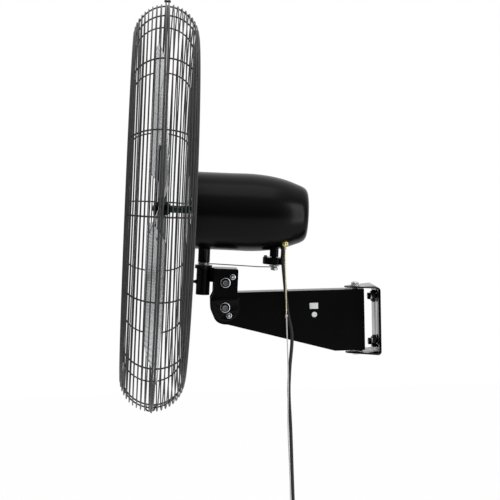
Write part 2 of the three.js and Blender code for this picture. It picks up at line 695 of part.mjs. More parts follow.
function pivotNut(halfStack) {
  const from = halfStack + GAP;
  return cut(
    hexagonAlongY(PIVOT_NUT_RADIUS, from, from + PIVOT_NUT_HEIGHT),
    rodAlongY(PIVOT_BOLT_RADIUS + GAP, from - 2, from + PIVOT_NUT_HEIGHT + 2, 16),
  );
}

function lockBolt(outerFace, depth) {
  const face = -outerFace - GAP;
  const head = rodAlongY(LOCK_HEAD_RADIUS, face - LOCK_HEAD_HEIGHT, face, 16);
  const shank = rodAlongY(LOCK_BOLT_RADIUS, face - 1, -outerFace + depth, 12);
  return join(head, shank);
}

place(fan, 'tilt_bolt', pivotBolt(CHEEK_OUTER), ZINC, TILT_AT);
place(fan, 'tilt_nut', pivotNut(CHEEK_OUTER), ZINC, TILT_AT);
place(fan, 'tilt_lock_bolt', lockBolt(CHEEK_OUTER, CHEEK_SHEET + ARM_SHEET + 6), ZINC, tiltLockPlace());

// ---------------------------------------------------------------- neck bracket

const NECK_INNER = CHEEK_OUTER + GAP;
const NECK_OUTER = NECK_INNER + NECK_PLATE_SHEET;

function neckBracket() {
  const bore = NECK_TUBE_RADIUS - NECK_TUBE_WALL;
  const tubeBottom = COLLAR_TOP - NECK_TUBE_LENGTH;
  const sidePlate = polygon([
    [NECK_PLATE_FRONT, NECK_PLATE_TOP],
    [NECK_PLATE_FRONT, NECK_PLATE_BOTTOM],
    [NECK_PLATE_REAR, NECK_PLATE_BOTTOM],
    [NECK_PLATE_REAR, NECK_PLATE_TOP - NECK_CORNER],
    [NECK_PLATE_REAR - NECK_CORNER / 2, NECK_PLATE_TOP],
  ]);
  const parts = [
    rod(NECK_TUBE_RADIUS, tubeBottom, COLLAR_TOP - 1, 18),
    rod(COLLAR_RADIUS, COLLAR_TOP - COLLAR_HEIGHT, COLLAR_TOP),
    plateAcrossY(sidePlate, -NECK_OUTER, -NECK_INNER),
    plateAcrossY(sidePlate, NECK_INNER, NECK_OUTER),
    // top flange, front web and the welded gusset that carries the tube
    box(
      NECK_PLATE_REAR - NECK_CORNER / 2 - NECK_PLATE_FRONT, 2 * NECK_OUTER, NECK_PLATE_SHEET,
      [(NECK_PLATE_REAR - NECK_CORNER / 2 + NECK_PLATE_FRONT) / 2, 0, NECK_PLATE_TOP - NECK_PLATE_SHEET / 2],
    ),
    box(
      NECK_PLATE_SHEET, 2 * NECK_OUTER, NECK_PLATE_TOP - NECK_WEB_BOTTOM,
      [NECK_PLATE_FRONT + NECK_PLATE_SHEET / 2, 0, (NECK_PLATE_TOP + NECK_WEB_BOTTOM) / 2],
    ),
    box(
      NECK_PLATE_FRONT + 1, NECK_TUBE_RADIUS, NECK_PLATE_TOP - NECK_WEB_BOTTOM,
      [(NECK_PLATE_FRONT + 1) / 2, 0, (NECK_PLATE_TOP + NECK_WEB_BOTTOM) / 2],
    ),
    lug(),
    rod(LUG_PIN_RADIUS, COLLAR_TOP - 1, COLLAR_TOP + LUG_PIN_HEIGHT, 12).translate(0, -LUG_REACH, 0),
  ];
  const sum = parts.slice(1).reduce((all, piece) => all.add(solid(piece)), solid(parts[0]));
  const reach = NECK_OUTER + 2;
  const cuts = [
    rod(bore, tubeBottom - 2, COLLAR_TOP + 2),
    rodAlongY(PIVOT_BOLT_RADIUS + GAP, -reach, reach, 16).translate(LINK_PIVOT_X, 0, LINK_PIVOT_Z),
    rodAlongY(LOCK_BOLT_RADIUS + GAP, -reach, reach, 14).translate(LINK_LOCK_X, 0, LINK_LOCK_Z),
    rodAlongX(LOCK_SCREW_RADIUS + GAP, -NECK_TUBE_RADIUS - 2, 0, 14).translate(0, 0, -LOCK_SCREW_DROP),
  ];
  return shown(cuts.reduce((left, piece) => left.subtract(solid(piece)), sum));
}

// the ear on the collar that the oscillation rod pushes against
function lug() {
  const half = LUG_RADIUS;
  const ear = new THREE.Shape();
  ear.moveTo(half, 0);
  ear.lineTo(-half, 0);
  ear.lineTo(-half, -LUG_REACH);
  ear.absarc(0, -LUG_REACH, half, 180 * DEGREE, 360 * DEGREE, false);
  ear.closePath();
  return plateAcrossZ(ear, COLLAR_TOP - LUG_THICKNESS, COLLAR_TOP, 6);
}
place(neck, 'neck_bracket', neckBracket(), BLACK_PAINT);

place(neck, 'link_bolt', pivotBolt(NECK_OUTER), ZINC, [LINK_PIVOT_X, 0, LINK_PIVOT_Z]);
place(neck, 'link_nut', pivotNut(NECK_OUTER), ZINC, [LINK_PIVOT_X, 0, LINK_PIVOT_Z]);
place(
  neck, 'link_lock_bolt',
  lockBolt(NECK_OUTER, NECK_PLATE_SHEET + CHEEK_SHEET + 4),
  ZINC, [LINK_LOCK_X, 0, LINK_LOCK_Z],
);

const BUSH_OUTER = NECK_TUBE_RADIUS - NECK_TUBE_WALL - GAP;
const SPINDLE_RADIUS = BUSH_OUTER - BUSH_WALL - RUNNING_GAP;
place(
  neck, 'neck_bush',
  tube(BUSH_OUTER - BUSH_WALL, BUSH_OUTER, COLLAR_TOP - BUSH_LENGTH, COLLAR_TOP - GAP, 24),
  BRASS,
);
place(
  neck, 'thrust_washer',
  tube(
    BUSH_OUTER - BUSH_WALL, THRUST_WASHER_RADIUS,
    COLLAR_TOP + GAP, POST_BOTTOM - GAP, 24,
  ),
  ZINC,
);

function neckLockScrew() {
  const tip = -SPINDLE_RADIUS - RUNNING_GAP;
  return rodAlongX(LOCK_SCREW_RADIUS, -NECK_TUBE_RADIUS - LOCK_SCREW_LENGTH, tip, 12);
}
place(neck, 'neck_lock_screw', neckLockScrew(), BLACK_PAINT, [0, 0, -LOCK_SCREW_DROP]);

// ---------------------------------------------------------------- motor

function yokePost() {
  const spindle = rod(SPINDLE_RADIUS, COLLAR_TOP - SPINDLE_LENGTH, POST_BOTTOM + 1, 20);
  const post = rod(POST_RADIUS, POST_BOTTOM, AXIS_HEIGHT - MOTOR_RADIUS + POST_BLEND, 20);
  // the post is shaped to the round of the motor
  const saddle = rodAlongX(MOTOR_RADIUS + GAP, -POST_RADIUS - 4, POST_RADIUS + 4, 48);
  saddle.translate(0, 0, AXIS_HEIGHT);
  return cut(join(post, spindle), saddle);
}
place(neck, 'yoke_post', yokePost(), BLACK_PAINT);

const BELL_REAR = BELL_FRONT + BELL_LENGTH;
const SEAT_RADIUS = BEARING_RADIUS + GAP;
const COVER_FRONT = HOUSING_REAR + GAP;

function frontBell() {
  const inner = MOTOR_RADIUS - MOTOR_WALL;
  const face = BELL_FRONT + BELL_PLATE;
  const seatRear = face + BEARING_WIDTH;
  return turnedAlongX([
    [SHAFT_HOLE_RADIUS, BELL_FRONT],
    [MOTOR_RADIUS - BELL_ROUND, BELL_FRONT],
    [MOTOR_RADIUS, BELL_FRONT + BELL_ROUND],
    [MOTOR_RADIUS, BELL_REAR],
    [inner, BELL_REAR],
    [inner, face],
    [SEAT_RADIUS + BEARING_SEAT_WALL, face],
    [SEAT_RADIUS + BEARING_SEAT_WALL, seatRear],
    [SEAT_RADIUS, seatRear],
    [SEAT_RADIUS, face],
    [SHAFT_HOLE_RADIUS, face],
  ], 24);
}
place(motorAxis, 'front_bell', frontBell(), BLACK_PAINT);
place(
  motorAxis, 'motor_housing',
  turnedAlongX(ringProfile(MOTOR_RADIUS - MOTOR_WALL, MOTOR_RADIUS, BELL_REAR + GAP, HOUSING_REAR), 24),
  BLACK_PAINT,
);

// the end shield carries the rear bearing between stator and gear space
const SHIELD_FRONT = HOUSING_REAR - SHIELD_THICKNESS - SHIELD_INSET;
function rearEndShield() {
  const outer = MOTOR_RADIUS - MOTOR_WALL - 2 * GAP;
  const rear = SHIELD_FRONT + SHIELD_THICKNESS;
  const seatFront = SHIELD_FRONT - BEARING_WIDTH;
  return turnedAlongX([
    [SHAFT_HOLE_RADIUS, rear],
    [SHAFT_HOLE_RADIUS, SHIELD_FRONT],
    [SEAT_RADIUS, SHIELD_FRONT],
    [SEAT_RADIUS, seatFront],
    [SEAT_RADIUS + BEARING_SEAT_WALL, seatFront],
    [SEAT_RADIUS + BEARING_SEAT_WALL, SHIELD_FRONT],
    [outer, SHIELD_FRONT],
    [outer, rear],
  ], 24);
}
place(motorAxis, 'rear_end_shield', rearEndShield(), ALUMINIUM);

const coverRadii = [
  [MOTOR_RADIUS, COVER_FRONT],
  [COVER_WAIST_RADIUS, COVER_WAIST],
  [COVER_MID_RADIUS, COVER_MID],
  [COVER_SHOULDER_RADIUS, COVER_SHOULDER],
  [COVER_REAR_RADIUS, COVER_REAR],
];

function rearCover() {
  const outside = coverRadii;
  const inside = outside.map(([r, x]) => [r - MOTOR_WALL, Math.min(x, COVER_REAR - MOTOR_WALL)]).reverse();
  const rear = COVER_REAR;
  const shell = turnedAlongX([...outside, [0, rear + 1], [0, rear - MOTOR_WALL], ...inside], 24);
  // each hole runs from below the cover into the hollow
  const drill = (radius, x, y) => rod(radius, -MOTOR_RADIUS - 1, -COVER_REAR_RADIUS, 16).translate(x, y, 0);
  return cut(
    shell,
    drill(GEAR_POST_RADIUS + GAP, CRANK_AXIS_X, 0),
    drill(CORD_HOLE_RADIUS, RELIEF_X, RELIEF_Y),
    drill(NIPPLE_RADIUS + GAP, NIPPLE_X, NIPPLE_Y),
  );
}
place(motorAxis, 'rear_cover', rearCover(), BLACK_PAINT);

place(
  motorAxis, 'stator',
  turnedAlongX(
    ringProfile(STATOR_INNER_RADIUS, MOTOR_RADIUS - MOTOR_WALL - 2 * GAP, STACK_FRONT, STACK_REAR), 24,
  ),
  COPPER,
);
const bearing = (from) => turnedAlongX(
  ringProfile(SHAFT_RADIUS + GAP, BEARING_RADIUS, from + GAP, from + BEARING_WIDTH - GAP), 24,
);
place(motorAxis, 'front_bearing', bearing(BELL_FRONT + BELL_PLATE), STEEL);
place(motorAxis, 'rear_bearing', bearing(SHIELD_FRONT - BEARING_WIDTH), STEEL);
// gear case: the outer post that carries the crank shaft below the cover
const SPUR_LEVEL = AXIS_HEIGHT - SPUR_DROP;
place(
  neck, 'gear_post',
  tube(
    CRANK_SHAFT_RADIUS + RUNNING_GAP, GEAR_POST_RADIUS,
    GEAR_POST_BOTTOM, SPUR_LEVEL - SPUR_THICKNESS / 2 - GAP, 20,
  ),
  BLACK_PAINT, [CRANK_AXIS_X, 0, 0],
);

// ---------------------------------------------------------------- rotor

const rotor = new THREE.Group();
rotor.rotation.x = -BLADE_PARK_ANGLE * DEGREE;
motorAxis.add(rotor);

place(
  rotor, 'shaft',
  turnedAlongX([
    [0, HUB_FRONT],
    [SHAFT_RADIUS, HUB_FRONT],
    [SHAFT_RADIUS, SHAFT_REAR - WORM_LENGTH],
    [WORM_RADIUS, SHAFT_REAR - WORM_LENGTH + 2],
    [WORM_RADIUS, SHAFT_REAR],
    [0, SHAFT_REAR],
  ], 20),
  STEEL,
);
place(
  rotor, 'rotor_core',
  turnedAlongX(
    ringProfile(SHAFT_RADIUS + GAP, STATOR_INNER_RADIUS - 2 * RUNNING_GAP, STACK_FRONT, STACK_REAR), 24,
  ),
  STEEL,
);
place(
  rotor, 'shaft_sleeve',
  turnedAlongX(
    ringProfile(SHAFT_RADIUS + GAP, SLEEVE_RADIUS, SLEEVE_FRONT, BELL_FRONT - SLEEVE_REAR_GAP), 20,
  ),
  GREEN,
);

// wide paddles: the chord and pitch change evenly from root to tip
const bladeShare = (radius) => (radius - BLADE_ROOT_RADIUS) / (BLADE_TIP_RADIUS - BLADE_ROOT_RADIUS);
const between = (from, to, share) => from + (to - from) * share;
const bladeChord = (radius) => between(BLADE_ROOT_CHORD, BLADE_TIP_CHORD, bladeShare(radius));

// A point of a blade: its radius, its distance along the chord and its height off the middle of the sheet.
function bladePoint(radius, along, off) {
  const pitch = between(BLADE_ROOT_PITCH, BLADE_TIP_PITCH, bladeShare(radius)) * DEGREE;
  const lift = off + BLADE_CAMBER * (1 - (2 * along / bladeChord(radius)) ** 2);
  return new THREE.Vector3(
    BLADE_PLANE + along * Math.sin(pitch) + lift * Math.cos(pitch),
    along * Math.cos(pitch) - lift * Math.sin(pitch),
    radius,
  );
}

// A sheet in rows of [radius, width], with its thickness and its offset from the blade's own sheet.
function bladeSheet(rows, columns, thickness, off) {
  const last = rows.length - 1;
  const positions = [];
  const index = [];
  const at = (layer, i, j) => (layer * rows.length + i) * (columns + 1) + j;
  for (const layer of [0, 1]) {
    for (const [radius, width] of rows) {
      for (let j = 0; j <= columns; j += 1) {
        const point = bladePoint(radius, (j / columns - 0.5) * width, off + (layer - 0.5) * thickness);
        positions.push(point.x, point.y, point.z);
      }
    }
  }
  const quad = (a, b, c, d) => index.push(a, b, c, a, c, d);
  for (let i = 0; i < last; i += 1) {
    for (let j = 0; j < columns; j += 1) {
      quad(at(0, i, j), at(0, i, j + 1), at(0, i + 1, j + 1), at(0, i + 1, j));
      quad(at(1, i, j), at(1, i + 1, j), at(1, i + 1, j + 1), at(1, i, j + 1));
    }
    quad(at(0, i, 0), at(0, i + 1, 0), at(1, i + 1, 0), at(1, i, 0));
    quad(at(0, i, columns), at(1, i, columns), at(1, i + 1, columns), at(0, i + 1, columns));
  }
  for (let j = 0; j < columns; j += 1) {
    quad(at(0, 0, j), at(1, 0, j), at(1, 0, j + 1), at(0, 0, j + 1));
    quad(at(0, last, j), at(0, last, j + 1), at(1, last, j + 1), at(1, last, j));
  }
  const geometry = new THREE.BufferGeometry();
  geometry.setAttribute('position', new THREE.Float32BufferAttribute(positions, 3));
  geometry.setIndex(index);
  return geometry;
}

// the tip's corners are rounded over the last stretch of the radius
function blade() {
  const corner = BLADE_TIP_CORNER;
  const plain = BLADE_TIP_RADIUS - corner;
  const rows = [0, 1, 2, 3].map((i) => between(BLADE_ROOT_RADIUS, plain, i / 3));
  const straight = rows.map((radius) => [radius, bladeChord(radius)]);
  const rounded = [0.5, 0.85, 1].map((share) => {
    const radius = plain + corner * share;
    return [radius, bladeChord(radius) - 2 * corner * (1 - Math.sqrt(1 - share * share))];
  });
  return bladeSheet([...straight, ...rounded], 6, BLADE_SHEET, 0);
}

function spiderArm() {
  const from = HUB_RADIUS * 0.6;
  const rows = [0, 1, 2, 3].map((i) => [between(from, SPIDER_REACH, i / 3), SPIDER_CHORD]);
  return bladeSheet(rows, 2, SPIDER_SHEET, (BLADE_SHEET + SPIDER_SHEET) / 2 + SPIDER_GAP);
}

function fanHub() {
  let body = solid(rodAlongX(HUB_RADIUS, HUB_FRONT, HUB_REAR, 28));
  for (let k = 0; k < BLADE_COUNT; k += 1) {
    body = body.add(solid(spiderArm().rotateX(-(k * 360 / BLADE_COUNT) * DEGREE)));
  }
  const bore = rodAlongX(SHAFT_RADIUS + GAP, HUB_FRONT - SPIDER_CHORD, HUB_REAR + SPIDER_CHORD, 20);
  return shown(body.subtract(solid(bore)));
}
place(rotor, 'fan_hub', fanHub(), BLACK_PAINT);
for (let k = 0; k < BLADE_COUNT; k += 1) {
  const geometry = blade().rotateX(-(k * 360 / BLADE_COUNT) * DEGREE);
  place(rotor, `blade_${k + 1}`, geometry, ALUMINIUM);
}

// ---------------------------------------------------------------- guard

// A lattice of rings and ribs on a surface of revolution about the fan axis.
// Each station is [radius, x, ring]: ring says whether the band up to the next station is solid.
function lattice(stations) {
  const columns = GUARD_RIBS * (GUARD_SPANS + 1);
  const positions = [];
  const index = [];
  const spot = (j, i, layer) => (j * columns + (i % columns)) * 2 + layer;
  stations.forEach(([radius, x], j) => {
    const before = stations[Math.max(j - 1, 0)];
    const after = stations[Math.min(j + 1, stations.length - 1)];
    const along = new THREE.Vector2(after[0] - before[0], after[1] - before[1]).normalize();
    const half = RIB_WIDTH / 2 / radius;
    const free = 2 * Math.PI / GUARD_RIBS - 2 * half;
    for (let i = 0; i < columns; i += 1) {
      const [rib, step] = [Math.floor(i / (GUARD_SPANS + 1)), i % (GUARD_SPANS + 1)];
      const start = (rib * 2 * Math.PI) / GUARD_RIBS;
      const angle = step === 0 ? start - half : start + half + ((step - 1) * free) / GUARD_SPANS;
      for (const layer of [0, 1]) {
        const off = (layer - 0.5) * WIRE_THICKNESS;
        const r = radius - along.y * off;
        positions.push(x + along.x * off, r * Math.sin(angle), r * Math.cos(angle));
      }
    }
  });
  const solidAt = (j, i) => j >= 0 && j < stations.length - 1
    && (stations[j][2] || i % (GUARD_SPANS + 1) === 0);
  const quad = (a, b, c, d) => index.push(a, b, c, a, c, d);
  for (let j = 0; j < stations.length - 1; j += 1) {
    for (let i = 0; i < columns; i += 1) {
      if (!solidAt(j, i)) continue;
      const [a, b, c, d] = [[j, i], [j + 1, i], [j + 1, i + 1], [j, i + 1]];
      quad(spot(...a, 0), spot(...b, 0), spot(...c, 0), spot(...d, 0));
      quad(spot(...a, 1), spot(...d, 1), spot(...c, 1), spot(...b, 1));
      const wall = (from, to) => quad(spot(...from, 0), spot(...from, 1), spot(...to, 1), spot(...to, 0));
      if (!solidAt(j - 1, i)) wall(d, a);
      if (!solidAt(j, (i + columns - 1) % columns)) wall(a, b);
      if (!solidAt(j + 1, i)) wall(b, c);
      if (!solidAt(j, (i + 1) % columns)) wall(c, d);
    }
  }
  const geometry = new THREE.BufferGeometry();
  geometry.setAttribute('position', new THREE.Float32BufferAttribute(positions, 3));
  geometry.setIndex(index);
  return geometry;
}

const SHOULDER_CENTRE = GUARD_RADIUS - GUARD_HALF_DEPTH; // radius where the face turns into the side

// side: +1 for the rear half, -1 for the front half
function guardSide(side) {
  const onArc = (distance) => {
    const angle = distance / GUARD_HALF_DEPTH;
    return [
      SHOULDER_CENTRE + GUARD_HALF_DEPTH * Math.cos(angle),
      GUARD_SEAM + side * GUARD_HALF_DEPTH * Math.sin(angle),
    ];
  };
  const quarter = 90 * DEGREE * GUARD_HALF_DEPTH;
  const stations = [[...onArc(GAP), true], [...onArc(GAP + SEAM_RING_WIDTH), false]];
  for (const angle of SIDE_RING_ANGLES) {
    const middle = angle * DEGREE * GUARD_HALF_DEPTH;
    stations.push([...onArc(middle - RING_WIDTH / 2), true], [...onArc(middle + RING_WIDTH / 2), false]);
  }
  stations.push([...onArc(quarter - GAP), false]);
  return lattice(stations);
}

function guardFace(side, rings, plateRadius, plateHole) {
  const x = GUARD_SEAM + side * GUARD_HALF_DEPTH;
  const edge = SHOULDER_CENTRE - GAP;
  const stations = [[edge, x, true], [edge - RING_WIDTH, x, false]];
  for (const radius of rings) {
    stations.push([radius + RING_WIDTH / 2, x, true], [radius - RING_WIDTH / 2, x, false]);
  }
  stations.push([plateRadius, x, true], [plateHole, x, false]);
  return lattice(stations);
}

place(motorAxis, 'guard_front_side', guardSide(-1), BLACK_WIRE);
place(motorAxis, 'guard_rear_side', guardSide(1), BLACK_WIRE);
place(
  motorAxis, 'guard_front_face',
  guardFace(-1, FRONT_FACE_RINGS, FRONT_PLATE_RADIUS, FRONT_PLATE_HOLE), BLACK_WIRE,
);
place(
  motorAxis, 'guard_rear_face',
  guardFace(1, REAR_FACE_RINGS, REAR_PLATE_RADIUS, REAR_PLATE_HOLE), BLACK_WIRE,
);

// the clip that holds the two halves together at the top of the seam
function guardClip() {
  const inner = GUARD_RADIUS + WIRE_THICKNESS / 2 + GAP;
  const outline = polygon([
    [GUARD_SEAM - CLIP_LENGTH / 2, inner],
    [GUARD_SEAM + CLIP_LENGTH / 2, inner],
    [GUARD_SEAM + CLIP_LENGTH / 4, inner + CLIP_REACH],
    [GUARD_SEAM - CLIP_LENGTH / 4, inner + CLIP_REACH],
  ]);
  return plateAcrossY(outline, -CLIP_WIDTH / 2, CLIP_WIDTH / 2);
}
place(motorAxis, 'guard_clip_top', guardClip(), BLACK_WIRE);
place(motorAxis, 'guard_clip_bottom', guardClip().rotateX(180 * DEGREE), BLACK_WIRE);

// ---------------------------------------------------------------- oscillation drive

const CRANK_AT = [CRANK_AXIS_X, 0, 0];
const CRANK_UNDERSIDE = CRANK_TOP - CRANK_THICKNESS;

function crankShaft() {
  const top = SPUR_LEVEL + SPUR_THICKNESS / 2;
  const shaft = rod(CRANK_SHAFT_RADIUS, CRANK_TOP - 1, top, 16);
  const spur = rod(SPUR_RADIUS, SPUR_LEVEL - SPUR_THICKNESS / 2, top, 22);
  const disc = rod(CRANK_RADIUS, CRANK_UNDERSIDE, CRANK_TOP, 30);
  const pinHole = rod(CRANK_PIN_RADIUS + GAP, CRANK_UNDERSIDE - 2, CRANK_TOP + 2, 14)
    .translate(0, -CRANK_THROW, 0);
  return cut(join(shaft, spur, disc), pinHole);
}
place(neck, 'crank', crankShaft(), BLACK_PAINT, CRANK_AT);

const ROD_UNDERSIDE = ROD_HEIGHT - ROD_EYE_THICKNESS / 2;
function crankPin() {
  const nutTop = ROD_UNDERSIDE - GAP;
  const pin = rod(CRANK_PIN_RADIUS, CRANK_PIN_END, CRANK_TOP - 2, 14);
  const nut = hexagon(CRANK_NUT_RADIUS, nutTop - CRANK_NUT_HEIGHT, nutTop);
  return join(pin, nut);
}
place(neck, 'crank_pin', crankPin(), ZINC, [CRANK_AXIS_X, -CRANK_THROW, 0]);

function linkRod() {
  const start = new THREE.Vector2(CRANK_AXIS_X, -CRANK_THROW);
  const end = new THREE.Vector2(0, -LUG_REACH);
  const span = start.distanceTo(end);
  const turn = Math.atan2(end.y - start.y, end.x - start.x);
  const eyeTop = ROD_UNDERSIDE + ROD_EYE_THICKNESS;
  const eye = (x) => rod(ROD_EYE_RADIUS, ROD_UNDERSIDE, eyeTop, 18).translate(x, 0, 0);
  const bar = rodAlongX(ROD_RADIUS, 2, span - 2, 10).translate(0, 0, ROD_HEIGHT);
  const hole = (x, radius) => rod(radius, ROD_UNDERSIDE - 3, ROD_UNDERSIDE + 6, 14).translate(x, 0, 0);
  const body = cut(
    join(bar, eye(0), eye(span)),
    hole(0, CRANK_PIN_RADIUS + GAP),
    hole(span, LUG_PIN_RADIUS),
  );
  return body.rotateZ(turn).translate(start.x, start.y, 0);
}
place(neck, 'link_rod', linkRod(), STEEL);

function idlerSpindle() {
  const top = AXIS_HEIGHT + IDLER_WHEEL_THICKNESS / 2;
  const spindle = rod(IDLER_SPINDLE_RADIUS, SPUR_LEVEL - PINION_LENGTH, top + 6, 14);
  const wheel = rod(IDLER_WHEEL_RADIUS, AXIS_HEIGHT - IDLER_WHEEL_THICKNESS / 2, top, 26);
  const pinion = rod(PINION_RADIUS, SPUR_LEVEL - PINION_LENGTH / 2, SPUR_LEVEL + PINION_LENGTH / 2, 16);
  return join(spindle, wheel, pinion);
}
place(neck, 'idler_spindle', idlerSpindle(), BRASS, [CRANK_AXIS_X, IDLER_OFFSET, 0]);

// ---------------------------------------------------------------- pull chain

const NIPPLE_MOUTH = inWorld(NIPPLE_X, NIPPLE_Y, NIPPLE_MOUTH_Z);

place(
  neck, 'chain_nipple',
  turned([
    [NIPPLE_BORE_RADIUS, NIPPLE_MOUTH_Z],
    [NIPPLE_LIP_RADIUS, NIPPLE_MOUTH_Z],
    [NIPPLE_RADIUS, NIPPLE_MOUTH_Z + NIPPLE_HEIGHT / 3],
    [NIPPLE_RADIUS, NIPPLE_MOUTH_Z + NIPPLE_HEIGHT * 2 / 3],
    [NIPPLE_STEM_RADIUS, NIPPLE_MOUTH_Z + NIPPLE_HEIGHT],
    [NIPPLE_STEM_RADIUS, NIPPLE_MOUTH_Z + NIPPLE_STEM],
    [NIPPLE_BORE_RADIUS, NIPPLE_MOUTH_Z + NIPPLE_STEM],
  ], 20),
  BRASS, [NIPPLE_X, NIPPLE_Y, 0],
);

place(
  neck, 'pull_switch',
  cut(
    box(SWITCH_LENGTH, SWITCH_WIDTH, SWITCH_HEIGHT, [0, 0, SWITCH_HEIGHT / 2]),
    rod(NIPPLE_BORE_RADIUS, -SWITCH_HEIGHT, SWITCH_HEIGHT / 2, 12),
  ),
  PLASTIC, [NIPPLE_X, NIPPLE_Y, NIPPLE_MOUTH_Z + NIPPLE_STEM + GAP],
);

// beads on a wire, as one turned solid hanging straight down in the world
function ballChain() {
  const profile = [[0, 0]];
  for (let bead = 0; bead < CHAIN_BEADS; bead += 1) {
    const top = -bead * CHAIN_PITCH;
    profile.push([CHAIN_NECK_RADIUS, top]);
    profile.push([CHAIN_RADIUS, top - CHAIN_PITCH / 2]);
  }
  profile.push([0, -CHAIN_BEADS * CHAIN_PITCH]);
  return turned(profile, 5);
}
const CHAIN_TOP = [NIPPLE_MOUTH.x, NIPPLE_MOUTH.y, NIPPLE_MOUTH.z + CHAIN_START];
const CHAIN_LENGTH = CHAIN_BEADS * CHAIN_PITCH;
place(fan, 'ball_chain', ballChain(), NICKEL, CHAIN_TOP);

const STRING_TOP = CHAIN_TOP[2] - CHAIN_LENGTH - GAP;
place(
  fan, 'pull_string',
  rod(STRING_RADIUS, -STRING_LENGTH, 0, 8),
  STRING, [CHAIN_TOP[0], CHAIN_TOP[1], STRING_TOP],
);
place(
  fan, 'end_knob',
  turned([
    [0, 0],
    [KNOB_TOP_RADIUS, 0],
    [KNOB_NECK_RADIUS, -KNOB_LENGTH * 0.3],
    [KNOB_RADIUS, -KNOB_LENGTH * 0.75],
    [KNOB_FOOT_RADIUS, -KNOB_LENGTH],
    [0, -KNOB_LENGTH],
  ], 16),
  BRASS, [CHAIN_TOP[0], CHAIN_TOP[1], STRING_TOP - STRING_LENGTH - GAP],
);

// ---------------------------------------------------------------- power cord

const RELIEF_MOUTH_Z = RELIEF_TOP_Z - RELIEF_LENGTH;
place(
  neck, 'strain_relief',
  turned([
    [CORD_RADIUS + GAP, RELIEF_MOUTH_Z],
    [RELIEF_TAIL_RADIUS, RELIEF_MOUTH_Z],
    [RELIEF_TAIL_RADIUS, RELIEF_TOP_Z - RELIEF_FLANGE],
    [RELIEF_RADIUS, RELIEF_TOP_Z - RELIEF_FLANGE],
    [RELIEF_RADIUS, RELIEF_TOP_Z],
    [CORD_RADIUS + GAP, RELIEF_TOP_Z],
  ], 16),
  RUBBER, [RELIEF_X, RELIEF_Y, 0],
);

// One unbroken tube: in from above over the first layer, three turns out, a climb along a run,
// the same lanes back in behind them, and out below over the second layer.
const HANK_HALF = HANK_RUN / 2;
const HANK_OUTER_RADIUS = HANK_INNER_RADIUS + (HANK_TURNS - 0.5) * HANK_PITCH;
const HANK_MIDDLE_Z = HANK_TOP_Z - HANK_OUTER_RADIUS - 2 * CORD_RADIUS - HANK_HALF;
const waist = (z) => HANK_WAIST * (0.5 + 0.5 * Math.cos((z / HANK_HALF) * Math.PI));

function hankPoints() {
  const steps = 5;
  const points = [];
  const put = (x, y, z) => points.push(new THREE.Vector3(HANK_X + x, HANK_Y + y, HANK_MIDDLE_Z + z));
  const layers = [-HANK_LAYER / 2, HANK_LAYER / 2];
  const lane = HANK_INNER_RADIUS - HANK_WAIST;
  const tieEnd = TIE_HEIGHT / 2 + CORD_RADIUS;
  const over = (end, y, z) => {
    const share = THREE.MathUtils.smoothstep(end * z, tieEnd, tieEnd + HANK_SHIFT);
    put(-lane, y + share * Math.sign(y) * HANK_LAYER, z);
  };
  const reach = HANK_TOP_Z - HANK_MIDDLE_Z;
  const drop = (reach - tieEnd) / 8;
  for (let k = 0; k < 8; k += 1) over(1, layers[0], reach - k * drop);
  let radius = HANK_INNER_RADIUS;
  const runs = 2 * (2 * HANK_TURNS - 1);
  for (let run = 0; run < runs; run += 1) {
    const downwards = run % 2 === 0;
    const climbing = run === 2 * HANK_TURNS - 1;
    const y = layers[run < 2 * HANK_TURNS ? 0 : 1];
    const side = downwards ? -1 : 1;
    for (let k = run ? 1 : 3; k < steps; k += 1) {
      const z = side * (-HANK_HALF + (HANK_RUN * k) / steps);
      put(side * (radius - waist(z)), y + (climbing ? (k / steps) * HANK_LAYER : 0), z);
    }
    const from = radius;
    radius += run < 2 * HANK_TURNS - 1 ? HANK_PITCH / 2 : -HANK_PITCH / 2;
    for (let k = 0; k <= steps; k += 1) {
      const r = from + ((radius - from) * k) / steps;
      const angle = (downwards ? Math.PI : 0) + (Math.PI * k) / steps;
      put(r * Math.cos(angle), climbing ? layers[1] : y, side * HANK_HALF + r * Math.sin(angle));
    }
  }
  // the last run starts in its own lane at the inner radius
  for (let k = 1; k < 4; k += 1) {
    const z = HANK_HALF - (HANK_RUN * k) / steps;
    put(-(radius - waist(z)), layers[1], z);
  }
  for (let k = 1; k <= 8; k += 1) over(-1, layers[1], -tieEnd - k * drop);
  return points;
}

// The least gap between parts of the wound cord that don't follow each other.
function leastGap(points, radius) {
  const fine = new THREE.CatmullRomCurve3(points, false, 'centripetal').getSpacedPoints(900);
  const length = fine.reduce((sum, p, i) => (i ? sum + p.distanceTo(fine[i - 1]) : 0), 0);
  const skip = Math.ceil((6 * radius * fine.length) / length);
  let least = Infinity;
  for (let i = 0; i < fine.length; i += 1) {
    for (let j = i + skip; j < fine.length; j += 1) {
      least = Math.min(least, fine[i].distanceTo(fine[j]));
    }
  }
  return { gap: least - 2 * radius, length };
}

const hank = hankPoints();
const wound = leastGap(hank, CORD_RADIUS);
console.log(
  `cord hank: length ${wound.length.toFixed(0)} mm, least gap to itself ${wound.gap.toFixed(2)} mm`,
);
place(fan, 'cord_hank', sweptTube(hank, CORD_RADIUS, 6, new THREE.Vector3(0, 1, 0)), RUBBER);

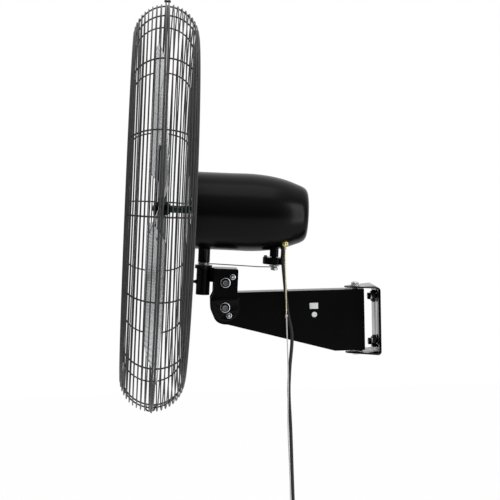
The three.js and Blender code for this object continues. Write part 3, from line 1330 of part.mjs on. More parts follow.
// the hanging stretch, by chosen points from the strain relief down to the hank
const cordStart = inWorld(RELIEF_X, RELIEF_Y, RELIEF_MOUTH_Z - GAP);
const cordEnd = hank[0].clone().add(new THREE.Vector3(0, 0, GAP));
const cordRoute = [
  cordStart,
  inWorld(RELIEF_X + 0.3, RELIEF_Y, RELIEF_MOUTH_Z - 9),
  new THREE.Vector3(-189.6, -27, 88),
  new THREE.Vector3(-184, -28, 20),
  new THREE.Vector3(-176.6, -28, -25),
  new THREE.Vector3(-182.5, -27.5, -94),
  new THREE.Vector3(-185, -26.5, -140),
  new THREE.Vector3(-183, -25.5, -216),
  new THREE.Vector3(-182, -25, -300),
  cordEnd.clone().add(new THREE.Vector3(0, 0, 26)),
  cordEnd.clone().add(new THREE.Vector3(0, 0, 9)),
  cordEnd,
];
place(fan, 'power_cord', tubeAlong(cordRoute, CORD_RADIUS, 8, 32), RUBBER);

// a band round the waist of the hank
function hankTie() {
  const clear = CORD_RADIUS + GAP;
  const left = HANK_INNER_RADIUS + (HANK_TURNS - 1) * HANK_PITCH - HANK_WAIST + clear + HANK_TIE_SLACK;
  const right = HANK_OUTER_RADIUS - HANK_WAIST + clear + HANK_TIE_SLACK;
  const deep = HANK_LAYER / 2 + clear + HANK_TIE_SLACK / 2;
  const corner = TIE_CORNER;
  const outline = (more) => polygon([
    [-left - more, -deep + corner], [-left + corner, -deep - more],
    [right - corner, -deep - more], [right + more, -deep + corner],
    [right + more, deep - corner], [right - corner, deep + more],
    [-left + corner, deep + more], [-left - more, deep - corner],
  ]);
  const half = TIE_HEIGHT / 2;
  return cut(plateAcrossZ(outline(TIE_SHEET), -half, half), plateAcrossZ(outline(0), -half - 1, half + 1));
}
place(fan, 'hank_tie', hankTie(), RUBBER, [HANK_X, HANK_Y, HANK_MIDDLE_Z]);

function plug() {
  const body = turned([
    [0, 0],
    [PLUG_NECK_RADIUS, 0],
    [PLUG_NECK_RADIUS, -PLUG_NECK_LENGTH],
    [PLUG_RADIUS, -PLUG_SHOULDER],
    [PLUG_RADIUS, -PLUG_LENGTH],
    [0, -PLUG_LENGTH],
  ], 20);
  const blade = (side) => box(
    PIN_THICKNESS, PIN_WIDTH, PIN_LENGTH + 1,
    [side * PIN_SPACING / 2, PIN_OFFSET, -PLUG_LENGTH - (PIN_LENGTH - 1) / 2],
  );
  const earth = rod(EARTH_PIN_RADIUS, -PLUG_LENGTH - PIN_LENGTH, -PLUG_LENGTH + 1, 12)
    .translate(0, -EARTH_PIN_OFFSET, 0);
  return join(body, blade(-1), blade(1), earth);
}
const hankEnd = hank[hank.length - 1];
place(fan, 'plug', plug(), RUBBER, [hankEnd.x, hankEnd.y, hankEnd.z - GAP]);

export default fan;
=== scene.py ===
"""Looks of a wall mounted oscillating fan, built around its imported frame."""

import json
import math

import bmesh
import bpy
from mathutils import Matrix, Vector


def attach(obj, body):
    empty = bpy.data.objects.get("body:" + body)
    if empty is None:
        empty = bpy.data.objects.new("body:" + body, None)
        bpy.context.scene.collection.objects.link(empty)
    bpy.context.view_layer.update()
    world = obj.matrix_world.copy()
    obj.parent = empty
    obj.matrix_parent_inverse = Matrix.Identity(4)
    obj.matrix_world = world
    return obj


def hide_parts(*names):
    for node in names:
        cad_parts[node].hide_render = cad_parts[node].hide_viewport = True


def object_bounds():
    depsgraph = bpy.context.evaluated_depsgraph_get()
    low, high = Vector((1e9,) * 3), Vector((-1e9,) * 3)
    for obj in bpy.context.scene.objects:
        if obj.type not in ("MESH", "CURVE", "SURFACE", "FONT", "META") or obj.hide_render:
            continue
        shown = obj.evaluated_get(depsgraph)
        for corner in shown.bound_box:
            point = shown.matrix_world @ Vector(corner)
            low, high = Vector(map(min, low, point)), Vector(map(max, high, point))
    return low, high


bl_info = {
    "name": "Wall Mounted Fan",
    "version": (1, 0, 0),
    "blender": (4, 5, 0),
    "location": "3D View > Sidebar > Wall Fan",
    "description": "Builds the finished surfaces of a wall mounted fan around its frame",
    "category": "Add Mesh",
}

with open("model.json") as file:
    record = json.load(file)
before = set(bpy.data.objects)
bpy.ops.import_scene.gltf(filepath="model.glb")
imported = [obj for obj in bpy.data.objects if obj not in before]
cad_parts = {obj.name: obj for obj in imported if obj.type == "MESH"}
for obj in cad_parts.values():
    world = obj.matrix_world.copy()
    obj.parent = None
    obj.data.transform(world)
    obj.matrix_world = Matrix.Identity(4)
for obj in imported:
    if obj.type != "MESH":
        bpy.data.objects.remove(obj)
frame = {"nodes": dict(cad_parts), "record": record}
CAD_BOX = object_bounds()

# ------------------------------------------------------------------ places, in millimetres

METRES = 0.001
MM = Matrix.Scale(METRES, 4)
HEAD_TILT = math.radians(3.9)
PARK_ANGLE = math.radians(-37)
BRACKET = Matrix.Identity(4)
SWIVEL = Matrix.Translation((-44, 0, 0))
TILT = Matrix.Translation((-309.5, 0, 33))
HEAD = Matrix.Translation((-349.5, 0, 117)) @ Matrix.Rotation(HEAD_TILT, 4, "Y")
AXIS = HEAD @ Matrix.Translation((0, 0, 110.8))
ROTOR = AXIS @ Matrix.Rotation(PARK_ANGLE, 4, "X")
CRANK = HEAD @ Matrix.Translation((141, 0, 0))
# a local Z axis laid along the fan axis, along Y towards the far side and the near side, and turned over
LAID_X = Matrix.Rotation(math.radians(90), 4, "Y")
LAID_Y = Matrix.Rotation(math.radians(-90), 4, "X")
LAID_NEAR = Matrix.Rotation(math.radians(90), 4, "X")
FLIPPED = Matrix.Rotation(math.pi, 4, "X")
QUARTER = math.radians(90)

CLEARANCE = 0.4  # between two parts that don't touch

GUARD_SEAM = -94.8
GUARD_RADIUS = 404.5
GUARD_DEPTH = 62.6
SHOULDER = GUARD_RADIUS - GUARD_DEPTH


def at(x=0.0, y=0.0, z=0.0):
    return Matrix.Translation((x, y, z))


def about_x(degrees):
    return Matrix.Rotation(math.radians(degrees), 4, "X")


def shifted(profile, out=0, up=0):
    """A profile of (radius, height) corners, moved farther out and up."""
    return [(radius + out, height + up) for radius, height in profile]


# ------------------------------------------------------------------ settings


def amount(name, about, default, low, high, **kind):
    """A setting that is one number."""
    return bpy.props.FloatProperty(name=name, description=about, default=default, min=low, max=high, **kind)


def colour_setting(name, about, default):
    return bpy.props.FloatVectorProperty(
        name=name, description=about, subtype="COLOR", size=3, default=default, min=0.0, max=1.0
    )


class FanGuardSettings(bpy.types.PropertyGroup):
    ring_wire: amount("Ring wire", "Diameter of the ring wires in millimetres", 2.6, 1.0, 6.0)
    rib_wire: amount("Rib wire", "Diameter of the rib wires in millimetres", 3.2, 1.0, 8.0)
    rim_wire: amount("Rim wire", "Diameter of the two rim wires in millimetres", 4.2, 1.0, 8.0)
    ring_pitch: amount("Ring pitch", "Distance between two rings in millimetres", 8.8, 5.0, 30.0)
    ribs: bpy.props.IntProperty(
        name="Ribs", description="Number of rib wires in each half of the guard", default=16, min=6, max=32
    )
    colour: colour_setting("Wire colour", "Colour of the coated wire", (0.045, 0.045, 0.046))


class FanMotorSettings(bpy.types.PropertyGroup):
    paint: colour_setting("Paint colour", "Colour of the black enamel", (0.0008, 0.0008, 0.0009))
    gloss: amount("Paint roughness", "Roughness of the black enamel", 0.24, 0.0, 1.0, subtype="FACTOR")


class FanBladeSettings(bpy.types.PropertyGroup):
    sheet: amount("Blade sheet", "Thickness of the blades in millimetres", 2.0, 0.8, 4.0)
    colour: colour_setting("Blade colour", "Colour of the aluminium blades", (0.58, 0.59, 0.6))


class FanCordSettings(bpy.types.PropertyGroup):
    diameter: amount(
        "Cord diameter", "Diameter of the power cord", 0.007, 0.005, 0.012, subtype="DISTANCE", unit="LENGTH"
    )
    bead: amount("Chain bead", "Diameter of a chain bead in millimetres", 3.6, 2.0, 5.0)
    bead_pitch: amount("Bead pitch", "Distance between two beads in millimetres", 4.4, 3.0, 8.0)
    string_colour: colour_setting("String colour", "Colour of the braided pull string", (0.72, 0.71, 0.68))


class FanStageSettings(bpy.types.PropertyGroup):
    floor_gap: amount(
        "Floor gap", "Space between the floor and the lowest point of the fan", 0.02, 0.0, 2.0,
        subtype="DISTANCE", unit="LENGTH",
    )
    key_watts: amount("Key light", "Power of the large overhead light", 20.0, 0.0, 1000.0)
    fill_watts: amount("Fill light", "Power of the soft light beside the camera", 2.0, 0.0, 1000.0)
    side_watts: amount("Side light", "Power of the soft light on the wall's side", 18.0, 0.0, 1000.0)


# ------------------------------------------------------------------ materials

ENAMEL_IOR = 1.22
PLASTIC_IOR = 1.48


def linear(hex_colour):
    """sRGB hex to the linear colour that a socket takes."""
    parts = [int(hex_colour[i:i + 2], 16) / 255 for i in (1, 3, 5)]
    return tuple(c / 12.92 if c <= 0.04045 else ((c + 0.055) / 1.055) ** 2.4 for c in parts) + (1.0,)


def feed(tree, node, links):
    """Links sockets to a node's inputs."""
    for key, socket in dict(links).items():
        tree.links.new(socket, node.inputs[key])


def add(tree, kind, settings=(), links=()):
    """A node of a kind, with its properties or sockets set and its inputs linked."""
    made = tree.nodes.new(kind)
    for key, value in dict(settings).items():
        if isinstance(key, str) and hasattr(made, key):
            setattr(made, key, value)
        else:
            made.inputs[key].default_value = value
    feed(tree, made, links)
    return made


def finish_of(name):
    """An empty material with its shader, its tree and object coordinates."""
    material = bpy.data.materials.new(name)
    material.use_nodes = True
    tree = material.node_tree
    return material, tree, tree.nodes["Principled BSDF"], add(tree, "ShaderNodeTexCoord").outputs["Object"]


def scale_for(size_mm):
    """The scale of a pattern whose blotches or grains are about size_mm across."""
    return 1000 / size_mm


def opaque(colour, share=1.0):
    """A colour times a share, as a socket takes it."""
    return tuple(min(1.0, part * share) for part in colour) + (1.0,)


def painted(name, colour, roughness, peel_mm, peel_strength):
    """Baked enamel: an even dark coat with a faint orange peel and a few softer, dusty patches."""
    material, tree, shader, coords = finish_of(name)
    dust = add(
        tree, "ShaderNodeTexNoise", {"Scale": scale_for(60), "Detail": 4.0}, {"Vector": coords}
    ).outputs["Fac"]
    tint = add(
        tree, "ShaderNodeMix", {"data_type": "RGBA", 6: opaque(colour), 7: opaque(colour, 1.5)}, {0: dust}
    )
    matt = add(
        tree, "ShaderNodeMapRange", {"To Min": roughness - 0.05, "To Max": roughness + 0.07}, {"Value": dust}
    )
    peel = add(tree, "ShaderNodeTexNoise", {"Scale": scale_for(peel_mm), "Detail": 1.0}, {"Vector": coords})
    bump = add(
        tree, "ShaderNodeBump", {"Strength": peel_strength, "Distance": 0.0002},
        {"Height": peel.outputs["Fac"]},
    )
    feed(tree, shader, {
        "Base Color": tint.outputs[2], "Roughness": matt.outputs["Result"], "Normal": bump.outputs["Normal"],
    })
    shader.inputs["IOR"].default_value = ENAMEL_IOR
    return material


def metal(name, dark, light, rough_low, rough_high, grain_mm):
    """Bare or plated metal: its colour varies a little in patches, with a fine grain."""
    material, tree, shader, coords = finish_of(name)
    patches = add(
        tree, "ShaderNodeTexNoise", {"Scale": scale_for(9), "Detail": 4.0}, {"Vector": coords}
    ).outputs["Fac"]
    tint = add(
        tree, "ShaderNodeMix", {"data_type": "RGBA", 6: linear(dark), 7: linear(light)}, {0: patches}
    )
    matt = add(tree, "ShaderNodeMapRange", {"To Min": rough_low, "To Max": rough_high}, {"Value": patches})
    grain = add(tree, "ShaderNodeTexNoise", {"Scale": scale_for(grain_mm), "Detail": 2.0}, {"Vector": coords})
    bump = add(
        tree, "ShaderNodeBump", {"Strength": 0.15, "Distance": 0.0001}, {"Height": grain.outputs["Fac"]}
    )
    feed(tree, shader, {
        "Base Color": tint.outputs[2], "Roughness": matt.outputs["Result"], "Normal": bump.outputs["Normal"],
    })
    shader.inputs["Metallic"].default_value = 1.0
    return material


def rolled_aluminium(name, colour):
    """Mill-finish sheet: long, fine rolling lines along the blade over a soft sheen."""
    material, tree, shader, coords = finish_of(name)
    stretched = add(tree, "ShaderNodeMapping", {"Scale": (1.0, 1.0, 0.06)}, {"Vector": coords})
    lines = add(
        tree, "ShaderNodeTexNoise", {"Scale": scale_for(2.2), "Detail": 3.0},
        {"Vector": stretched.outputs["Vector"]},
    ).outputs["Fac"]
    tint = add(
        tree, "ShaderNodeMix", {"data_type": "RGBA", 6: opaque(colour, 0.86), 7: opaque(colour)}, {0: lines}
    )
    matt = add(tree, "ShaderNodeMapRange", {"To Min": 0.1, "To Max": 0.2}, {"Value": lines})
    bump = add(tree, "ShaderNodeBump", {"Strength": 0.04, "Distance": 0.0001}, {"Height": lines})
    feed(tree, shader, {
        "Base Color": tint.outputs[2], "Roughness": matt.outputs["Result"], "Normal": bump.outputs["Normal"],
    })
    shader.inputs["Metallic"].default_value = 1.0
    return material


def moulded(name, dark, light, roughness, grain_mm, strength=0.25):
    """Moulded rubber or plastic: matt, with a fine spark-eroded grain."""
    material, tree, shader, coords = finish_of(name)
    grain = add(
        tree, "ShaderNodeTexNoise", {"Scale": scale_for(grain_mm), "Detail": 2.0}, {"Vector": coords}
    ).outputs["Fac"]
    bloom = add(tree, "ShaderNodeTexNoise", {"Scale": scale_for(25), "Detail": 3.0}, {"Vector": coords})
    tint = add(
        tree, "ShaderNodeMix", {"data_type": "RGBA", 6: linear(dark), 7: linear(light)},
        {0: bloom.outputs["Fac"]},
    )
    matt = add(
        tree, "ShaderNodeMapRange", {"To Min": roughness - 0.08, "To Max": roughness + 0.08}, {"Value": grain}
    )
    bump = add(tree, "ShaderNodeBump", {"Strength": strength, "Distance": 0.0002}, {"Height": grain})
    feed(tree, shader, {
        "Base Color": tint.outputs[2], "Roughness": matt.outputs["Result"], "Normal": bump.outputs["Normal"],
    })
    shader.inputs["IOR"].default_value = PLASTIC_IOR
    return material


def braided(name, colour):
    """Braided cotton: diagonal bundles a millimetre apart, with fibres and a soft sheen."""
    material, tree, shader, coords = finish_of(name)
    wave = add(
        tree, "ShaderNodeTexWave",
        {"wave_type": "BANDS", "bands_direction": "DIAGONAL", "Scale": 160.0, "Distortion": 1.5},
        {"Vector": coords},
    ).outputs["Fac"]
    tint = add(
        tree, "ShaderNodeMix", {"data_type": "RGBA", 6: opaque(colour, 0.6), 7: opaque(colour)}, {0: wave}
    )
    bump = add(tree, "ShaderNodeBump", {"Strength": 0.6, "Distance": 0.0004}, {"Height": wave})
    feed(tree, shader, {"Base Color": tint.outputs[2], "Normal": bump.outputs["Normal"]})
    shader.inputs["Roughness"].default_value = 0.85
    shader.inputs["Sheen Weight"].default_value = 0.3
    return material


def make_finishes(scene):
    motor, guard, blades, cord = scene.fan_motor, scene.fan_guard, scene.fan_blades, scene.fan_cord
    return {
        # polyester powder coat on drawn steel: deep black, half gloss
        "black_paint": painted("black_enamel", motor.paint, motor.gloss, 1.6, 0.12),
        # the same coat where it came out glossier, on the bracket
        "bracket_gloss": painted("glossy_black_enamel", motor.paint, 0.12, 1.6, 0.03),
        # dipped and baked wire: thicker coat, brighter edges
        "black_wire": painted("coated_wire", guard.colour, 0.34, 1.0, 0.1),
        # bright zinc plate: cool, slightly cloudy
        "zinc": metal("bright_zinc", "#c4c7cb", "#e6e8eb", 0.2, 0.34, 0.5),
        # turned steel
        "steel": metal("turned_steel", "#6d7074", "#8c8f93", 0.25, 0.38, 0.6),
        # mill-finish aluminium sheet
        "aluminium": rolled_aluminium("rolled_aluminium", blades.colour),
        # yellow brass, a little tarnished
        "brass": metal("yellow_brass", "#a89c60", "#e2d79c", 0.16, 0.3, 0.5),
        # nickel plated beads with a warm cast
        "nickel": metal("nickel_plate", "#cbc29c", "#f2ebcb", 0.15, 0.26, 0.4),
        # neoprene: matt black with a grey bloom
        "rubber": moulded("neoprene_rubber", "#101011", "#1b1b1c", 0.55, 0.7),
        # varnished fibre sleeve in dark green
        "green_sleeve": moulded("varnished_sleeve", "#0d3a2c", "#155040", 0.4, 1.2),
        # enamelled copper windings
        "copper": metal("enamelled_copper", "#7a3f22", "#a5613a", 0.3, 0.45, 0.8),
        # blank foil label
        "paper": moulded("blank_foil_label", "#cdd0ce", "#e0e2e0", 0.45, 0.6, 0.1),
        # braided cotton
        "string": braided("braided_cotton", cord.string_colour),
        # phenolic plastic
        "plastic": moulded("phenolic_plastic", "#141415", "#1d1d1e", 0.45, 0.9),
    }


FINISHES = {}


# ------------------------------------------------------------------ shapes, drawn in millimetres

SHARP = math.radians(38)
THREAD_PITCH = 1.5


def joined(bm, shape, place):
    """Adds a finished shape to a drawing, at a place."""
    mesh = bpy.data.meshes.new("shape")
    bmesh.ops.transform(shape, matrix=place, verts=shape.verts)
    shape.to_mesh(mesh)
    shape.free()
    bm.from_mesh(mesh)
    bpy.data.meshes.remove(mesh)


def lathe(bm, profile, place, steps=64, flutes=0):
    """Spins corners of (radius, height) once round the local Z axis, with optional flutes.

    A profile that doesn't start on the axis is a loop, and is closed.
    """
    shape = bmesh.new()
    if profile[0][0] > 0:
        profile = [*profile, profile[0]]
    start = [shape.verts.new((radius, 0, height)) for radius, height in profile]
    edges = [shape.edges.new(pair) for pair in zip(start, start[1:])]
    bmesh.ops.spin(
        shape, geom=start + edges, cent=(0, 0, 0), axis=(0, 0, 1), angle=math.tau, steps=steps, use_merge=True
    )
    bmesh.ops.remove_doubles(shape, verts=shape.verts, dist=0.001)
    if flutes:
        widest = max(radius for radius, height in profile)
        for vert in shape.verts:
            reach = vert.co.xy.length / widest
            wave = 1 + 0.035 * reach ** 4 * math.cos(flutes * math.atan2(vert.co.y, vert.co.x))
            vert.co.xy *= wave
    joined(bm, shape, place)


def bar(bm, radius, low, high, place, sides=32, tip=None):
    """A round or many-sided bar between two heights, with an optional smaller tip."""
    middle = place @ at(z=(low + high) / 2)
    bmesh.ops.create_cone(
        bm, cap_ends=True, segments=sides, radius1=radius, radius2=radius if tip is None else tip,
        depth=high - low, matrix=middle,
    )


def block(bm, size, centre, place=BRACKET):
    bmesh.ops.create_cube(bm, size=1, matrix=place @ at(*centre) @ Matrix.Diagonal((*size, 1)))


def ring(bm, radius, height, gauge, place, steps=96, sides=6):
    """A closed ring of round wire about the local Z axis."""
    shape = bmesh.new()
    upright = at(radius, 0, height) @ LAID_NEAR
    section = bmesh.ops.create_circle(shape, segments=sides, radius=gauge / 2, matrix=upright)["verts"]
    bmesh.ops.spin(
        shape, geom=section + list(shape.edges), cent=(0, 0, 0), axis=(0, 0, 1), angle=math.tau,
        steps=steps, use_merge=True,
    )
    joined(bm, shape, place)


def wire(bm, points, diameter, place, sides=8):
    """A round wire swept along points, with closed ends."""
    shape = bmesh.new()
    points = [Vector(p) for p in points]
    heading = (points[1] - points[0]).normalized()
    turn = Vector((0, 0, 1)).rotation_difference(heading).to_matrix().to_4x4()
    bmesh.ops.create_circle(
        shape, cap_ends=True, segments=sides, radius=diameter / 2, matrix=Matrix.Translation(points[0]) @ turn
    )
    edges = list(shape.edges)
    for i in range(1, len(points)):
        following = points[min(i + 1, len(points) - 1)] - points[i - 1]
        bend = heading.rotation_difference(following.normalized()).to_matrix().to_4x4()
        heading = following.normalized()
        pushed = bmesh.ops.extrude_edge_only(shape, edges=edges)["geom"]
        rim = [g for g in pushed if isinstance(g, bmesh.types.BMVert)]
        edges = [g for g in pushed if isinstance(g, bmesh.types.BMEdge)]
        move = Matrix.Translation(points[i]) @ bend @ Matrix.Translation(-points[i - 1])
        bmesh.ops.transform(shape, matrix=move, verts=rim)
    bmesh.ops.contextual_create(shape, geom=edges)
    joined(bm, shape, place)


def rounded(bm, width):
    """Rounds every sharp edge."""
    edges = [e for e in bm.edges if len(e.link_faces) == 2 and e.calc_face_angle(0) > SHARP]
    bmesh.ops.bevel(
        bm, geom=edges, offset=width, offset_type="OFFSET", segments=2, profile=0.5,
        affect="EDGES", material=-1, clamp_overlap=True,
    )


def placed(name, data):
    """A new object in the scene."""
    made = bpy.data.objects.new(name, data)
    bpy.context.scene.collection.objects.link(made)
    return made


def piece(bm, name, body, slot, replaces=(), smooth_below=42, outward=True):
    """Turns a drawing in millimetres into an object that rides on a body."""
    bmesh.ops.remove_doubles(bm, verts=bm.verts, dist=0.0005)
    if outward:
        bmesh.ops.recalc_face_normals(bm, faces=bm.faces)
    bmesh.ops.transform(bm, matrix=MM, verts=bm.verts)
    mesh = bpy.data.meshes.new(name)
    for face in bm.faces:
        face.smooth = True
    bm.to_mesh(mesh)
    bm.free()
    mesh.set_sharp_from_angle(angle=math.radians(smooth_below))
    mesh.materials.append(FINISHES[slot])
    made = placed(name, mesh)
    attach(made, body)
    for node in replaces:
        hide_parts(node)
    return made


def turned(name, body, slot, nodes, profile, place, steps=64, flutes=0):
    """A piece that is turned from one profile."""
    bm = bmesh.new()
    lathe(bm, profile, place, steps, flutes)
    return piece(bm, name, body, slot, nodes)


def pressed(node, name, body, slot, finish=None):
    """A copy of a solid sheet-metal node with its corners merged and its edges rounded."""
    bm = bmesh.new()
    bm.from_mesh(frame["nodes"][node].data)
    bmesh.ops.transform(bm, matrix=MM.inverted(), verts=bm.verts)
    bmesh.ops.remove_doubles(bm, verts=bm.verts, dist=0.01)
    bmesh.ops.dissolve_limit(bm, angle_limit=math.radians(2), verts=bm.verts, edges=bm.edges)
    rounded(bm, SHEET_EDGE)
    made = piece(bm, name, body, slot, [node], outward=False)
    if finish:
        made.data.materials[0] = FINISHES[finish]
    return made


def hex_head(bm, radius, low, high, place):
    """A hexagon with its outer corners turned down to a round chamfer at the high end."""
    chamfer = radius * 0.13
    bar(bm, radius, low, high - chamfer, place, 6)
    bar(bm, radius, high - chamfer, high, place, 6, radius * 0.87)
    bar(bm, radius * 0.8, high - 0.2, high + 0.1, place, 32)


def thread(bm, radius, low, high, place):
    """Turned grooves at a thread's pitch, with a chamfered tip."""
    turns = int((high - low - 1) / THREAD_PITCH)
    profile = [(0, low)]
    for i in range(turns):
        base = low + i * THREAD_PITCH
        profile += [(radius * 0.86, base), (radius, base + THREAD_PITCH / 2)]
    profile += [(radius * 0.86, low + turns * THREAD_PITCH), (radius * 0.7, high), (0, high)]
    lathe(bm, profile, place, 24)


def washer_ring(bm, inner, outer, low, high, place, steps=48):
    edge = min(0.5, (high - low) / 4)
    profile = [
        (inner, low), (outer - edge, low), (outer, low + edge), (outer, high - edge),
        (outer - edge, high), (inner, high),
    ]
    lathe(bm, profile, place, steps)


class FanPiece:
    """What every building operator here shares."""

    bl_options = {"REGISTER", "UNDO"}


# ------------------------------------------------------------------ wall bracket and swivel

SHEET_EDGE = 0.6  # rounding of the edges of pressed sheet metal
WALL_BOLTS = {"upper": 46, "lower": -46}
PAD_LINE = [
    (4.4, -9.9), (11.6, -9.9), (12.6, -9.3), (13, -8.2), (12.4, -6.4),
    (13, -4.6), (12.6, -3.5), (11.6, -2.9), (4.4, -2.9),
]
SWIVEL_TIP_LINE = [(0, 68), (4.9, 68), (4.9, 75.4), (4.1, 76.4), (2.2, 77), (0, 77.1)]
SWIVEL_HEAD_LINE = [(0, -72.8), (4.8, -72.7), (6.8, -72), (7.8, -70.6), (8, -69.2), (7.6, -68.4), (0, -68.4)]


class FAN_OT_wall_bracket(FanPiece, bpy.types.Operator):
    """Build the pressed wall bracket with its rubber pads, washers and wall bolts"""

    bl_idname = "fan.wall_bracket"
    bl_label = "Wall Bracket"

    def execute(self, context):
        pressed("wall_bracket", "bracket_sheet", "bracket", "black_paint", "bracket_gloss")
        for which, height in WALL_BOLTS.items():
            place = at(z=height) @ LAID_X
            turned(f"pad_{which}", "bracket", "rubber", [f"rubber_pad_{which}"], PAD_LINE, place)
            bm = bmesh.new()
            washer_ring(bm, 4.4, 10.5, -13.3, -10.3, place)
            piece(bm, f"washer_{which}", "bracket", "zinc", [f"wall_washer_{which}"])
            bm = bmesh.new()
            into_wall = place @ FLIPPED
            hex_head(bm, 7.5, 13.7, 19.2, into_wall)
            bar(bm, 4, CLEARANCE, 13.9, into_wall, 24)
            piece(bm, f"bolt_{which}", "bracket", "black_paint", [f"wall_bolt_{which}"])
        return {"FINISHED"}


class FAN_OT_swivel(FanPiece, bpy.types.Operator):
    """Build the swivel bolt with its nut and washers"""

    bl_idname = "fan.swivel"
    bl_label = "Swivel"

    def execute(self, context):
        bm = bmesh.new()
        bar(bm, 5, -69, 68.2, SWIVEL)
        lathe(bm, SWIVEL_TIP_LINE, SWIVEL, 32)
        lathe(bm, SWIVEL_HEAD_LINE, SWIVEL, 40)
        piece(bm, "swivel_bolt_body", "bracket", "zinc", ["swivel_bolt"])
        bm = bmesh.new()
        washer_ring(bm, 5.4, 11, 68.3, 69.7, SWIVEL)
        hex_head(bm, 8.8, 69.7, 75, SWIVEL)
        piece(bm, "swivel_nut_body", "bracket", "zinc", ["swivel_nut"])
        bm = bmesh.new()
        washer_ring(bm, 5.6, 14, -64.9, -62.1, SWIVEL)
        piece(bm, "swivel_washer_body", "bracket", "zinc", ["swivel_washer"])
        return {"FINISHED"}


# ------------------------------------------------------------------ arm and neck

SPOT_LINE = [(0, 0.1), (5.4, 0.1), (5.4, 0.5), (4.9, 0.8), (1.6, 0.8), (1.3, 0.55), (0, 0.55)]
# heights from the face that a bolt's head rests on; the rim's radii are from its edge
RIM_LINE = [(-1.9, 0), (-0.3, 0), (0, 0.4), (0, 1.2), (-0.5, 1.9), (-1.3, 2.1), (-1.9, 1.4)]
DISH_LINE = [(0, 3.5), (0.6, 3.6), (1.2, 4.1), (1.8, 3.9), (2, 3.4), (0, 3.3)]
HEAD_RING_LINE = [(0, 7.6), (3.4, 7.7), (4.1, 8.2), (4.9, 8.2), (5.3, 7.8), (5.3, 7), (0, 7)]
SET_SCREW_LINE = [(0, -20.4), (2.2, -20.3), (3, -19.6), (3, -15.4), (4.6, -15.2), (4.6, -14.1), (0, -14.1)]
SLOT_BOLT = at(-302.09, 0, 16.59)
LINK_PIVOT = HEAD @ at(44, 0, -31)
LINK_BOLT = HEAD @ at(58, 0, -18.8)
SET_SCREW = HEAD @ at(z=-33) @ LAID_X
# three thin washers between the collar and the post, as (height, radius)
THRUST_WASHERS = ((1.8, 11), (3.3, 12.6), (4.9, 11.6))


class FAN_OT_arm(FanPiece, bpy.types.Operator):
    """Build the tapered arm channel with its blank label, round spot and slot bolt"""

    bl_idname = "fan.arm"
    bl_label = "Arm"

    def execute(self, context):
        pressed("arm", "arm_channel", "arm", "black_paint")
        bm = bmesh.new()
        block(bm, (17, 0.7, 12), (-130.5, -20.65, 31))
        rounded(bm, 0.25)
        piece(bm, "blank_label", "arm", "paper", ["label_plate"])
        turned("round_spot", "arm", "paper", (), SPOT_LINE, at(-129.8, -20, 13.4) @ LAID_NEAR, 32)
        lock_bolt("tilt_slot_bolt", "arm", "tilt_lock_bolt", SLOT_BOLT, 23.9)
        return {"FINISHED"}


def lock_bolt(name, body, node, place, face):
    """A small bolt with a washer face and a dished hexagon head, on the near side."""
    bm = bmesh.new()
    near = place @ LAID_NEAR
    rimmed_washer(bm, 5.9, face, near)
    hex_head(bm, 3, face, face + 3.6, near)
    lathe(bm, shifted(DISH_LINE, up=face), near, 24)
    bar(bm, 2.9, face - 8, face + 0.5, near, 20)
    piece(bm, name, body, "zinc", [node])


def rimmed_washer(bm, outer, face, place):
    """The plated rim of a cupped washer, which stands round the bolt's head."""
    lathe(bm, shifted(RIM_LINE, outer, face), place, 56)


def pivot_bolt(name, body, bolt_node, nut_node, place, half):
    """A shouldered bolt across the joint, with a wide washer, and its nut on the far side."""
    near = place @ LAID_NEAR
    far = place @ LAID_Y
    face = half + CLEARANCE
    bm = bmesh.new()
    rimmed_washer(bm, 10.2, face, near)
    bar(bm, 5, -half - 0.6, face + 1, near)
    thread(bm, 4.9, half + 0.5, half + 11.2, far)
    piece(bm, f"{name}_shank", body, "zinc", [bolt_node])
    bm = bmesh.new()
    hex_head(bm, 6.9, face, face + 7.8, near)
    lathe(bm, shifted(HEAD_RING_LINE, up=face), near, 36)
    piece(bm, f"{name}_head", body, "steel")
    bm = bmesh.new()
    washer_ring(bm, 5.3, 9.8, face, face + 1.6, far)
    hex_head(bm, 8.8, face + 1.6, face + 8, far)
    piece(bm, f"{name}_nut", body, "zinc", [nut_node])


class FAN_OT_neck(FanPiece, bpy.types.Operator):
    """Build the tilting cheeks and the neck bracket with their bolts"""

    bl_idname = "fan.neck"
    bl_label = "Neck"

    def execute(self, context):
        pressed("cheek_near", "near_cheek", "neck", "black_paint")
        pressed("cheek_far", "far_cheek", "neck", "black_paint")
        pressed("neck_bracket", "neck_casting", "neck", "black_paint")
        pivot_bolt("tilt_pivot", "neck", "tilt_bolt", "tilt_nut", TILT, 23.5)
        pivot_bolt("link_pivot", "neck", "link_bolt", "link_nut", LINK_PIVOT, 26.4)
        lock_bolt("link_small_bolt", "neck", "link_lock_bolt", LINK_BOLT, 26.8)
        bm = bmesh.new()
        for low, outer in THRUST_WASHERS:
            washer_ring(bm, 9.4, outer, low, low + 1.3, HEAD)
        piece(bm, "thrust_washers", "neck", "zinc", ["thrust_washer"])
        bm = bmesh.new()
        bar(bm, 3, -18.5, -9.4, SET_SCREW, 20)
        lathe(bm, SET_SCREW_LINE, SET_SCREW, 28)
        piece(bm, "neck_set_screw", "neck", "black_paint", ["neck_lock_screw"])
        return {"FINISHED"}


# ------------------------------------------------------------------ motor


